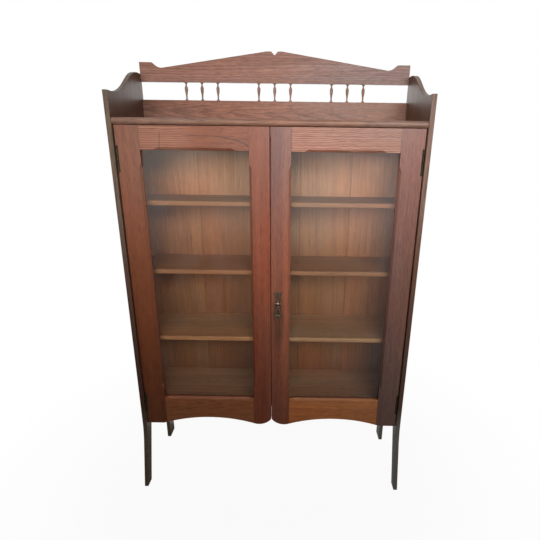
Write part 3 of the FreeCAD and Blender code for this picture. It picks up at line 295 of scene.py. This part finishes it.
# How fast the heart sinks away from the face, past that place
PLUNGE = {"left_top_rail": 0.30}
# The stretch of X over which weather has bleached the ridges
WEATHERED = {"left_top_rail": (-0.20, -0.30), "right_top_rail": (-0.20, 0.10)}
# A ring that has opened as a dark line: its radius, and the stretch of X over which it opens
OPEN_RING = {"left_top_rail": (0.0436, -0.275, -0.235)}
# How late wood fades into a ridge, and how far the ridges are bleached
RIDGE_SPAN = (0.6, 0.0)
BLEACH_SHARE = 0.24
# Painted sheen: boards greyer and mostly paler towards the top, where the lamps' sheen falls, each by its
# own tint, and the heights over which it grows
TOP_SHEEN_HEIGHTS = (0.80, 1.25)
TOP_SHEEN_TINTS = {
    "right_meeting_stile": colour(0.70, 1.00, 1.42),
    "left_meeting_stile": colour(0.95, 1.00, 1.08),
    "left_hinge_stile": colour(1.12, 1.55, 2.50),
    "right_hinge_stile": colour(1.20, 1.15, 1.20),
    "left_side_panel": colour(1.04, 1.22, 1.35),
    "right_side_panel": colour(1.55, 1.95, 2.40),
    "back_board": colour(1.45, 1.74, 2.25),
}
# Painted shade and sheen across a stile's width, its left strip darker and greyer than the rest: the
# stretch of X, and the tint at its far end
CROSS_SHADE_TINTS = {"right_meeting_stile": ((0.030, 0.052), colour(1.32, 1.28, 1.12))}
# A painted shadow of the handle on a board, below and to the right of it: its middle in X and Z, its half
# sizes and its tint
ShadowPatch = namedtuple("ShadowPatch", "middle half tint")
HANDLE_SHADOWS = {"right_meeting_stile": ShadowPatch((0.025, 0.665), (0.028, 0.125), colour(0.58, 0.70, 0.72))}
# Painted shade on the front edge of a shelf, which takes more of the lamps' light than its top: how much,
# over which depth, and to which shade
SHELF_EDGE_SHADE = {"upper_shelf": 0.42, "middle_shelf": 0.36}
EDGE_SHADE_DEPTH = (0.008, 0.003)
EDGE_SHADE_TONE = 0.6
# Short cracks on the front, each from one point of X and Z to another
CRACKS = {
    "left_top_rail": (((-0.3325, 1.2853), (-0.3366, 1.2330)), ((-0.1401, 1.2989), (-0.1498, 1.2820))),
    "gallery_base_rail": (((0.0560, 1.3900), (0.0640, 1.3720)),),
}
# Dark lines: the distance from each kind where it ends, and where it is full
CRACK_EDGE = (0.0016, 0.0003)
RING_EDGE = (0.0020, 0.0004)
SHOULDER_EDGE = (0.0020, 0.0005)
BOARD_EDGE = (0.0022, 0.0006)
# How dark all lines are, how dark the seams of the back are among them, and how much of a crack is full
LINE_SHARE = 0.8
BOARD_SEAM_SHARE = 0.55
CRACK_FULL_SHARE = 0.8

# Side panels: painted shade on the inner faces beside the tray, painted shade darkening them on the way
# down, and the tone of the legs, a dark stain with painted shade and sheen
TRAY_SHADE_TINTS = {
    "left_side_panel": colour(0.86, 0.52, 0.35),
    "right_side_panel": colour(0.87, 0.74, 0.60),
}
LOW_SHADE_TONE = colour(0.060, 0.024, 0.014)
LOW_SHADE_HEIGHTS = (1.20, 0.60)
LOW_SHADE_SHARE = 0.85
LEG_STAIN_AND_SHADE = {
    "left_side_panel": colour(0.094, 0.071, 0.050),
    "right_side_panel": colour(0.145, 0.130, 0.110),
}
LEG_HEIGHTS = (0.34, 0.23)
LEG_SHARE = 0.90
# Distance from a panel's face where the stain of the face ends, and where it is full
FACE_EDGE = (0.0006, 0.0002)


def heart(node, kind, draw):
    """Where the heart of the tree ran beside a board, and the turn that lays the grain."""
    low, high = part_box(node)
    normal, grain = AXES.index(kind.face), AXES.index(kind.grain)
    across = next(axis for axis in range(len(AXES)) if axis not in (normal, grain))
    place = (low + high) / 2
    place[normal] += draw.choice((-1, 1)) * draw.uniform(*HEART_DEPTH)
    place[across] += draw.uniform(-HEART_ACROSS, HEART_ACROSS) * (high - low)[across]
    tilt = [draw.uniform(-HEART_TILT, HEART_TILT) for _ in AXES]
    if node in HEARTS:
        place, tilt = HEARTS[node], (0.0, 0.0, 0.0)
    return place, [base + extra for base, extra in zip(GRAIN_TURN[kind.grain], tilt)]


def sunk(g, board, plunge):
    """Grain places over a heart that sinks from the face on one side."""
    past = g.math("MAXIMUM", g.node("ShaderNodeSeparateXYZ", {"Vector": board}).outputs["Z"], 0.0)
    drop = g.node("ShaderNodeCombineXYZ", {"Y": g.math("MULTIPLY", past, plunge)}).outputs["Vector"]
    return g.vector("ADD", board, drop)


def growth_rings(g, board, grainy, kind):
    """Distance from the heart, swayed a little, and the late wood of each year's ring."""
    bend = g.sway(g.noise(grainy, TRUNK_BEND), TRUNK_BEND_SIZE)
    bend = g.sway(g.noise(grainy, RING_WAVE), RING_WAVE_PITCHES * kind.pitch, bend)
    if kind.ripple:
        bend = g.sway(g.noise(grainy, RING_RIPPLE), RING_RIPPLE_SIZE * kind.ripple, bend)
    radius = g.math("ADD", g.vector("LENGTH", g.vector("MULTIPLY", board, ACROSS_GRAIN)), bend)
    year = g.math("FRACT", g.math("DIVIDE", radius, kind.pitch))
    return radius, g.math("MULTIPLY", g.span(year, *LATE_RISE), g.span(year, *LATE_END))


# One board's grain: distance from the heart, late wood, and the noises by name
Grain = namedtuple("Grain", "radius late band streak fibre fleck blotch pore")


def board_grain(g, node, kind, draw):
    """The grain of a board, laid along it and shifted to a place of its own."""
    place, turn = heart(node, kind, draw)
    inputs = {"Vector": g.place(), "Location": place, "Rotation": turn}
    board = g.node("ShaderNodeMapping", inputs, vector_type="TEXTURE").outputs["Vector"]
    grainy = g.vector("ADD", board, [draw.uniform(-WOOD_SHIFT, WOOD_SHIFT) for _ in AXES])
    radius, late = growth_rings(g, sunk(g, board, PLUNGE.get(node, 0.0)), grainy, kind)
    noises = {name: g.noise(grainy, noise) for name, noise in WOOD_NOISES.items()}
    noises["pore"] = g.span(noises["pore"], *PORE_SPAN)
    return Grain(radius, late, **noises)


def crack(g, start, end):
    """1 along a thin line on the front of a piece."""
    x, z = g.along("x"), g.along("z")
    lean = (end[0] - start[0]) / (end[1] - start[1])
    line = g.math("MULTIPLY_ADD", g.math("SUBTRACT", z, start[1]), lean, start[0])
    off = g.math("ABSOLUTE", g.math("SUBTRACT", x, line))
    middle, half = (start[1] + end[1]) / 2, abs(end[1] - start[1]) / 2
    beyond = g.math("ABSOLUTE", g.math("SUBTRACT", z, middle))
    return g.math("MULTIPLY", g.span(off, *CRACK_EDGE), g.span(beyond, half, CRACK_FULL_SHARE * half))


def shoulder_seam(g, node):
    """1 beside the joints where a door's rail meets its stiles."""
    door = node.split("_")[0]
    stiles = [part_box(f"{door}_{part}_stile") for part in ("hinge", "meeting")]
    edges = sorted(corner.x for box in stiles for corner in box)
    x = g.along("x")
    near = g.math("MINIMUM", g.math("SUBTRACT", x, edges[1]), g.math("SUBTRACT", edges[2], x))
    return g.span(near, *SHOULDER_EDGE)


def board_seam(g, node):
    """1 beside the long edges of a back board."""
    low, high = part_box(node)
    x = g.along("x")
    near = g.math("MINIMUM", g.math("SUBTRACT", x, low.x), g.math("SUBTRACT", high.x, x))
    return g.span(near, *BOARD_EDGE, 0.0, BOARD_SEAM_SHARE)


def dark_lines(g, node, radius):
    """Seams, cracks and opened rings of one piece, or None."""
    lines = [crack(g, start, end) for start, end in CRACKS.get(node, ())]
    if node.startswith("back_board"):
        lines.append(board_seam(g, node))
    if node.endswith(("top_rail", "bottom_rail")):
        lines.append(shoulder_seam(g, node))
    if node in OPEN_RING:
        size, shut, wide = OPEN_RING[node]
        off = g.math("ABSOLUTE", g.math("SUBTRACT", radius, size))
        lines.append(g.math("MULTIPLY", g.span(off, *RING_EDGE), g.span(g.along("x"), shut, wide)))
    total = None
    for line in lines:
        total = line if total is None else g.math("MAXIMUM", total, line)
    return total


def panel_stain_and_shade(g, node, figure, body):
    """A side panel's stain: plain outside, paler inside the case, with painted shade beside the tray,
    painted shade darkening it towards the feet, and dark legs with painted shade and sheen.
    """
    inner, outer = sorted(abs(corner.x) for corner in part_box(node))
    plain, pale = FINISHES["case"], FINISHES["shelf"]
    reach = g.math("ABSOLUTE", g.along("x"))
    outside = g.span(reach, *(outer - edge for edge in FACE_EDGE))
    body = g.mix(outside, body, g.mix(figure, plain.dark, plain.light))
    inside = facing = g.span(g.math("SUBTRACT", reach, inner), *FACE_EDGE)
    limits = (
        ("z", "LESS_THAN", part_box("top_board")[0].z),
        ("z", "GREATER_THAN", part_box("bottom_board")[1].z),
        ("y", "GREATER_THAN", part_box("left_hinge_stile")[1].y),
    )
    for axis, rule, limit in limits:
        inside = g.math("MULTIPLY", inside, g.math(rule, g.along(axis), limit))
    # Painted shade: the inner faces above the top board darker and warmer, the left one more
    above = g.math("MULTIPLY", facing, g.math("GREATER_THAN", g.along("z"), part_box("top_board")[1].z))
    body = g.tint(above, body, TRAY_SHADE_TINTS[node])
    # Painted shade: darker towards the feet
    body = g.mix(g.span(g.along("z"), *LOW_SHADE_HEIGHTS, 0.0, LOW_SHADE_SHARE), body, LOW_SHADE_TONE)
    # The legs: a dark stain with painted shade, and on the right a painted grey sheen
    body = g.mix(g.span(g.along("z"), *LEG_HEIGHTS, 0.0, LEG_SHARE), body, LEG_STAIN_AND_SHADE[node])
    return g.mix(inside, body, g.mix(figure, pale.dark, pale.light))


def shadow_weight(g, shadow_patch):
    """Weight of a painted shadow patch, from 1 in its middle to 0 at its rim."""
    square = 0.0
    for axis, middle, half in zip("xz", shadow_patch.middle, shadow_patch.half):
        offset = g.math("DIVIDE", g.math("SUBTRACT", g.along(axis), middle), half)
        square = g.math("MULTIPLY_ADD", offset, offset, square)
    return g.span(square, 1.0, 0.0)


def figured(g, grain, rings):
    """Share of the light figure, from the noises and the late wood."""
    figure = FIGURE_BASE
    for name, amount in FIGURE_SWAYS.items():
        figure = g.sway(getattr(grain, name), amount, figure)
    return g.math("MULTIPLY_ADD", grain.late, -rings, figure, clamp=True)


def stained(g, grain, figure, light, dark):
    """Colour of a new board: its figure, blotches of stain and pores."""
    body = g.mix(figure, dark, light)
    stain = g.mix(g.span(grain.blotch, *BLOTCH_SPAN), WARM_STAIN, COOL_STAIN)
    body = g.mix(1.0, body, stain, "MULTIPLY")
    return g.mix(g.math("MULTIPLY", grain.pore, PORE_SHARE), body, shade(dark, PORE_SHADE))


def weathered_and_painted(g, node, kind, late, body, dark):
    """Painted sheen, shade and shadow on a board, and the ridges that weather has bleached."""
    # Painted sheen towards the top of the board
    top_sheen = TOP_SHEEN_TINTS.get(node, TOP_SHEEN_TINTS.get(kind.word))
    if top_sheen:
        body = g.tint(g.span(g.along("z"), *TOP_SHEEN_HEIGHTS), body, top_sheen)
    # Painted shade on the shelf's front edge
    if node in SHELF_EDGE_SHADE:
        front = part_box(node)[0].y
        depths = (front + depth for depth in EDGE_SHADE_DEPTH)
        body = g.mix(g.span(g.along("y"), *depths, 0.0, SHELF_EDGE_SHADE[node]), body, shade(dark, EDGE_SHADE_TONE))
    # Painted shade and sheen across the stile's width
    if node in CROSS_SHADE_TINTS:
        stretch, tint = CROSS_SHADE_TINTS[node]
        body = g.tint(g.span(g.along("x"), *stretch), body, tint)
    # Painted shadow of the handle
    if node in HANDLE_SHADOWS:
        body = g.tint(shadow_weight(g, HANDLE_SHADOWS[node]), body, HANDLE_SHADOWS[node].tint)
    if node in WEATHERED:
        ridge = g.math("MULTIPLY", g.span(late, *RIDGE_SPAN), g.span(g.along("x"), *WEATHERED[node]))
        body = g.mix(g.math("MULTIPLY", ridge, BLEACH_SHARE), body, BLEACHED)
    return body


def wood_relief(g, grain, amount):
    """Normals of raised fibre, sunken late wood and sunken pores."""
    height = g.math("MULTIPLY_ADD", grain.fibre, RELIEF_FIBRE, g.math("MULTIPLY", grain.late, RELIEF_LATE))
    height = g.math("MULTIPLY_ADD", grain.pore, RELIEF_PORE, height)
    return g.bump(height, RELIEF_STRENGTH * amount, RELIEF_DEPTH)


def wood(node, seed):
    """Stained timber with growth rings, soft bands, streaks, fibre, pores, cracks and worn edges, and on
    some pieces painted sheen, shade and shadow.
    """
    kind = next(kind for kind in KINDS if kind.word in node)
    finish = FINISHES[kind.finish]
    # The piece's tint: partly its own stain, partly painted light and shade
    light, dark = (tinted(tone, STAIN_AND_LIGHT_TINTS.get(node, UNTINTED)) for tone in (finish.light, finish.dark))
    material, g = new_material(node)
    grain = board_grain(g, node, kind, random.Random(seed))
    figure = figured(g, grain, kind.rings)
    body = weathered_and_painted(g, node, kind, grain.late, stained(g, grain, figure, light, dark), dark)
    wear = g.math("MULTIPLY", g.edge_wear(WEAR_RADIUS), g.span(grain.fibre, *WEAR_FIBRE))
    body = g.mix(g.math("MULTIPLY", wear, WEAR_SHARE), body, shade(light, WEAR_SHADE))
    if node in SIDES:
        body = panel_stain_and_shade(g, node, figure, body)
    lines = dark_lines(g, node, grain.radius)
    if lines is not None:
        body = g.mix(g.math("MULTIPLY", lines, LINE_SHARE), body, LINE_TONE)
    rough = g.sway(grain.streak, STREAK_ROUGHNESS, finish.rough)
    inputs = {
        "Base Color": body,
        "Roughness": g.math("MULTIPLY_ADD", wear, WEAR_ROUGHNESS, rough, clamp=True),
        "Specular IOR Level": VARNISH_GLOSS,
        "Normal": wood_relief(g, grain, kind.relief),
    }
    g.surface(g.node("ShaderNodeBsdfPrincipled", inputs).outputs["BSDF"])
    return material


# Metals: colours where rubbed and where tarnished, and the roughness
Metal = namedtuple("Metal", "bright dull rough")
METALS = {
    "hinge_brass": Metal(colour(0.075, 0.062, 0.036), colour(0.032, 0.027, 0.018), 0.50),
    "screw_brass": Metal(colour(0.150, 0.115, 0.060), colour(0.055, 0.045, 0.028), 0.42),
    "handle_bronze": Metal(colour(0.320, 0.220, 0.150), colour(0.110, 0.078, 0.054), 0.32),
    "catch_steel": Metal(colour(0.55, 0.55, 0.53), colour(0.25, 0.24, 0.22), 0.30),
}
METAL_PATCHES = Noise((160.0, 160.0, 160.0), 4.0, 0.6)
METAL_SPECKS = Noise((1400.0, 1400.0, 1400.0))
# Tarnish: the patches' noise from none to full, and the roughness it adds
TARNISH_SPAN = (0.30, 0.68)
TARNISH_ROUGHNESS = 0.2
# Rubbed edges: radius, their share, their shade of the bright colour, and the roughness they add
RUB_RADIUS = 0.0012
RUB_SHARE = 0.6
RUB_SHADE = 1.5
RUB_ROUGHNESS = -0.1
# Relief of the metal: what the specks add to the patches, and the whole
SPECK_RELIEF = 0.5
METAL_RELIEF_STRENGTH = 0.15
METAL_RELIEF_DEPTH = 0.0004

# Old window glass: its waves, and the dust that dims and yellows it
GLASS_IOR = 1.5
GLASS_WAVES = Noise((5.0, 5.0, 3.0), 1.0)
WAVE_STRENGTH = 0.06
WAVE_DEPTH = 0.004
GLASS_DUST = Noise((14.0, 14.0, 9.0), 5.0, 0.65)
DUST_TINT_SPAN = (0.35, 0.75)
CLEAN_TINT = colour(0.99, 0.99, 0.98)
DUSTY_TINT = colour(0.95, 0.91, 0.85)
DUST_DIM_SPAN = (0.40, 0.85)
DUST_CLEARNESS = (0.996, 0.97)
GLASS_SHADOW = colour(0.97, 0.97, 0.96)

# How far the noises of metal and glass may be shifted
PIECE_SHIFT = 5.0


def shifted_place(g, seed):
    """A piece's own place in the noises."""
    draw = random.Random(seed)
    return g.vector("ADD", g.place(), [draw.uniform(-PIECE_SHIFT, PIECE_SHIFT) for _ in AXES])


def metal(node, slot, seed):
    """Old metal: bright where rubbed, dull and browned in patches."""
    finish = METALS[slot]
    # The piece's tint: its own wear, and for the plate pins a painted shade
    bright, dull = (tinted(tone, STAIN_AND_LIGHT_TINTS.get(node, UNTINTED)) for tone in (finish.bright, finish.dull))
    material, g = new_material(node)
    place = shifted_place(g, seed)
    patches, specks = g.noise(place, METAL_PATCHES), g.noise(place, METAL_SPECKS)
    tarnish = g.span(patches, *TARNISH_SPAN)
    rubbed = g.edge_wear(RUB_RADIUS)
    tint = g.mix(tarnish, bright, dull)
    rough = g.math("MULTIPLY_ADD", tarnish, TARNISH_ROUGHNESS, finish.rough)
    height = g.math("MULTIPLY_ADD", specks, SPECK_RELIEF, patches)
    inputs = {
        "Base Color": g.mix(g.math("MULTIPLY", rubbed, RUB_SHARE), tint, shade(bright, RUB_SHADE)),
        "Metallic": 1.0,
        "Roughness": g.math("MULTIPLY_ADD", rubbed, RUB_ROUGHNESS, rough, clamp=True),
        "Normal": g.bump(height, METAL_RELIEF_STRENGTH, METAL_RELIEF_DEPTH),
    }
    g.surface(g.node("ShaderNodeBsdfPrincipled", inputs).outputs["BSDF"])
    return material


def glass(node, seed):
    """Old window glass: slightly wavy, with a thin film of dust."""
    material, g = new_material(node)
    place = shifted_place(g, seed)
    waves, dust = g.noise(place, GLASS_WAVES), g.noise(place, GLASS_DUST)
    inputs = {
        "Base Color": g.mix(g.span(dust, *DUST_TINT_SPAN), CLEAN_TINT, DUSTY_TINT),
        "Roughness": 0.0,
        "IOR": GLASS_IOR,
        "Transmission Weight": g.span(dust, *DUST_DIM_SPAN, *DUST_CLEARNESS),
        "Normal": g.bump(waves, WAVE_STRENGTH, WAVE_DEPTH),
    }
    pane = g.node("ShaderNodeBsdfPrincipled", inputs).outputs["BSDF"]
    clear = g.node("ShaderNodeBsdfTransparent", {"Color": GLASS_SHADOW}).outputs["BSDF"]
    g.surface(g.blend(g.node("ShaderNodeLightPath").outputs["Is Shadow Ray"], pane, clear))
    return material


def dress(node, piece, seed):
    """One material for a node, by what it is made of."""
    slot = SLOTS[node]
    if slot.endswith("wood"):
        material = wood(node, seed)
    elif slot == "glass":
        material = glass(node, seed)
    else:
        material = metal(node, slot, seed)
    piece.data.materials.clear()
    piece.data.materials.append(material)


def add_object(name, data):
    made = bpy.data.objects.new(name, data)
    bpy.context.scene.collection.objects.link(made)
    return made


def add_camera():
    forward = Vector((
        math.sin(CAMERA_YAW) * math.cos(CAMERA_PITCH),
        math.cos(CAMERA_YAW) * math.cos(CAMERA_PITCH),
        -math.sin(CAMERA_PITCH),
    ))
    level = Vector((math.cos(CAMERA_YAW), -math.sin(CAMERA_YAW), 0.0))
    upright = level.cross(forward)
    right = math.cos(CAMERA_ROLL) * level + math.sin(CAMERA_ROLL) * upright
    up = math.cos(CAMERA_ROLL) * upright - math.sin(CAMERA_ROLL) * level
    data = bpy.data.cameras.new("camera")
    data.sensor_width = CAMERA_SENSOR_MM
    data.lens = CAMERA_LENS_MM
    data.shift_x, data.shift_y = CAMERA_SHIFT
    camera = add_object("camera", data)
    turn = Matrix((right, up, -forward)).transposed().to_4x4()
    camera.matrix_world = Matrix.Translation(CAMERA_PLACE) @ turn
    bpy.context.scene.camera = camera


# Studio floor: half its width, its tone in the light, and how white it looks near the middle and away
FLOOR_HALF = 9.0
FLOOR_TONE = colour(0.5, 0.5, 0.5)
FLOOR_DISTANCES = (0.3, 1.4)
FLOOR_WHITENESS = (0.94, 1.0)
# Studio air: how bright it is where it only lights and where it is seen, and its two colours
AIR_STRENGTHS = (0.10, 1.0)
AIR_LIGHT = colour(1.0, 0.97, 0.94)
AIR_SEEN = colour(1.0, 1.0, 1.0)
# A depth of bounces below this is none
NO_BOUNCE = 0.5
# Rays that don't meet what is only mirrored
UNMIRRORED_RAYS = ("camera", "diffuse", "transmission", "shadow", "volume_scatter")

# Glowing upright cards in front, seen only in reflections, a painted reflection of a bright room in the
# panes and the varnish: middle, half sizes, strength and colour
Card = namedtuple("Card", "centre half strength tone")
REFLECTION_CARDS = {
    "right_card": Card((0.70, -2.6, 1.00), (0.80, 0.70), 1.6, colour(0.94, 1.00, 1.10)),
    "left_card": Card((-1.25, -2.6, 1.30), (0.80, 0.50), 1.8, colour(0.90, 0.94, 0.90)),
}
# Share of a card's half size up to which it is full
CARD_CORE = 0.35
# Dark cloth on the floor, seen only in reflections, glowing grey towards the right as a painted sheen:
# corners and height, where it turns from dark to grey, and where it ends
CLOTH_CORNERS = (-5.0, -7.0), (5.0, 0.20)
CLOTH_HEIGHT = 0.004
CLOTH_TURN = (0.05, 1.1)
CLOTH_SHEEN_GLOW = (0.02, 0.50)
CLOTH_END = (-1.6, -6.8)

# Lamps: place, aim, width and height, power in watts, and spread in degrees
Lamp = namedtuple("Lamp", "place aim size watts spread", defaults=(180.0,))
KEY = Lamp((-0.25, -2.1, 1.34), (0.06, -0.1, 1.30), (1.8, 0.5), 5.6, 50.0)
SHEEN = Lamp((0.60, -2.1, 1.85), (0.10, -0.1, 1.30), (1.8, 0.5), 5.9, 60.0)
LOW_FILL = Lamp((0.9, -1.9, 0.55), (0.25, -0.1, 0.35), (1.0, 0.7), 2.2, 100.0)
BACK_FILL = Lamp((0.0, 2.8, 0.7), (0.0, 0.2, 0.8), (2.4, 0.9), 22.0)
TRAY_FILL = Lamp((0.0, 2.8, 2.2), (0.0, 0.0, 0.8), (2.4, 1.6), 16.0)
LEFT_FILL = Lamp((-3.2, 0.6, 0.45), (-0.48, 0.05, 0.75), (1.6, 0.7), 10.0, 90.0)
RIGHT_FILL = Lamp((3.2, 0.6, 0.45), (0.48, 0.05, 0.75), (1.6, 0.7), 10.0, 90.0)


def light_list(name, nodes, state):
    """A list of pieces that a lamp leaves out (EXCLUDE) or lights alone (INCLUDE)."""
    listed = bpy.data.collections.new(name)
    for node in nodes:
        listed.objects.link(frame["nodes"][node])
    for entry in listed.collection_objects:
        entry.light_linking.link_state = state
    return listed


def add_lamp(name, lamp, receivers=None, mirrored=False):
    data = bpy.data.lights.new(name, "AREA")
    data.shape = "RECTANGLE"
    data.size, data.size_y = lamp.size
    data.energy = lamp.watts
    data.spread = math.radians(lamp.spread)
    made = add_object(name, data)
    made.visible_transmission = False
    made.visible_glossy = mirrored
    made.light_linking.receiver_collection = receivers
    made.location = lamp.place
    made.rotation_euler = (Vector(lamp.aim) - Vector(lamp.place)).to_track_quat("-Z", "Y").to_euler()


def plain_sheet(name, low, high, height):
    """A flat rectangle of the studio."""
    mesh = bpy.data.meshes.new(name)
    corners = [(low[0], low[1]), (high[0], low[1]), (high[0], high[1]), (low[0], high[1])]
    mesh.from_pydata([(x, y, height) for x, y in corners], [], [(0, 1, 2, 3)])
    sheet = add_object(name, mesh)
    return sheet


def background_rays(g):
    """1 on the rays that show the background: seen directly, mirrored or through glass."""
    path = g.node("ShaderNodeLightPath").outputs
    unmirrored = g.math("LESS_THAN", path["Glossy Depth"], NO_BOUNCE)
    through = g.math("MULTIPLY", path["Is Transmission Ray"], unmirrored)
    mirrored = g.math("SUBTRACT", path["Is Glossy Ray"], path["Is Transmission Ray"], clamp=True)
    seen = g.math("MAXIMUM", path["Is Camera Ray"], mirrored)
    seen = g.math("MAXIMUM", seen, through)
    return g.math("MULTIPLY", seen, g.math("LESS_THAN", path["Diffuse Depth"], NO_BOUNCE))


def add_floor():
    floor = plain_sheet("floor", (-FLOOR_HALF, -FLOOR_HALF), (FLOOR_HALF, FLOOR_HALF), 0.0)
    material, g = studio_material("pale_floor")
    lit = g.node("ShaderNodeBsdfDiffuse", {"Color": FLOOR_TONE}).outputs["BSDF"]
    white = g.node("ShaderNodeEmission", {"Strength": 1.0}).outputs["Emission"]
    away = g.vector("LENGTH", g.place())
    whiteness = g.span(away, *FLOOR_DISTANCES, *FLOOR_WHITENESS)
    g.surface(g.blend(g.math("MULTIPLY", background_rays(g), whiteness), lit, white))
    floor.data.materials.append(material)


def only_mirrored(sheet):
    for ray in UNMIRRORED_RAYS:
        setattr(sheet, "visible_" + ray, False)


def add_reflection_card(name, card):
    """A soft-edged glowing card, which only mirrored rays meet: a painted reflection."""
    sheet = plain_sheet(name, [-reach for reach in card.half], card.half, 0.0)
    sheet.location = card.centre
    sheet.rotation_euler = (math.pi / 2, 0.0, 0.0)
    only_mirrored(sheet)
    material, g = studio_material(name)
    cover = 1.0
    for axis, reach in zip("xy", card.half):
        off = g.math("ABSOLUTE", g.along(axis))
        cover = g.math("MULTIPLY", g.span(off, reach, CARD_CORE * reach), cover)
    glow = {"Color": card.tone, "Strength": card.strength}
    pale = g.node("ShaderNodeEmission", glow).outputs["Emission"]
    open_air = g.node("ShaderNodeBsdfTransparent").outputs["BSDF"]
    g.surface(g.blend(cover, open_air, pale))
    sheet.data.materials.append(material)


def add_cloth():
    """A cloth that only mirrored rays meet: dark, so the panes stay clear, and glowing grey towards the
    right as a painted sheen.
    """
    sheet = plain_sheet("dark_cloth", *CLOTH_CORNERS, CLOTH_HEIGHT)
    only_mirrored(sheet)
    material, g = studio_material("dark_cloth")
    glow = {"Strength": g.span(g.along("x"), *CLOTH_TURN, *CLOTH_SHEEN_GLOW)}
    cloth = g.node("ShaderNodeEmission", glow).outputs["Emission"]
    open_air = g.node("ShaderNodeBsdfTransparent").outputs["BSDF"]
    g.surface(g.blend(g.span(g.along("y"), *CLOTH_END), cloth, open_air))
    sheet.data.materials.append(material)


def add_world():
    world = bpy.data.worlds.new("studio")
    world.use_nodes = True
    g = Graph(world.node_tree)
    strength = g.span(background_rays(g), 0.0, 1.0, *AIR_STRENGTHS)
    seen = g.node("ShaderNodeLightPath").outputs["Is Camera Ray"]
    tone = g.mix(seen, AIR_LIGHT, AIR_SEEN)
    shine = g.node("ShaderNodeBackground", {"Color": tone, "Strength": strength})
    output = g.node("ShaderNodeOutputWorld")
    g.feed(output.inputs["Surface"], shine.outputs["Background"])
    bpy.context.scene.world = world


def add_lamps():
    """Soft lamps. A mirrored one leaves out the panes, which would show its outline, and the sheen on the
    side panels isn't mirrored, because it would glare along them from behind."""
    panes = [node for node, slot in SLOTS.items() if slot == "glass"]
    no_panes = light_list("no_panes", panes, "EXCLUDE")
    no_panes_or_sides = light_list("no_panes_or_sides", panes + SIDES, "EXCLUDE")
    sides = light_list("sides", SIDES, "INCLUDE")
    add_lamp("key", KEY)
    add_lamp("sheen", SHEEN, no_panes_or_sides, mirrored=True)
    add_lamp("side_sheen", SHEEN, sides)
    add_lamp("low_fill", LOW_FILL)
    add_lamp("back_fill", BACK_FILL, no_panes, mirrored=True)
    add_lamp("tray_fill", TRAY_FILL, no_panes, mirrored=True)
    add_lamp("left_fill", LEFT_FILL)
    add_lamp("right_fill", RIGHT_FILL)


for index, (node, piece) in enumerate(sorted(frame["nodes"].items())):
    dress(node, piece, index + 1)
add_camera()
add_floor()
add_cloth()
for name, card in REFLECTION_CARDS.items():
    add_reflection_card(name, card)
add_world()
add_lamps()
bpy.context.scene.view_settings.view_transform = "Standard"
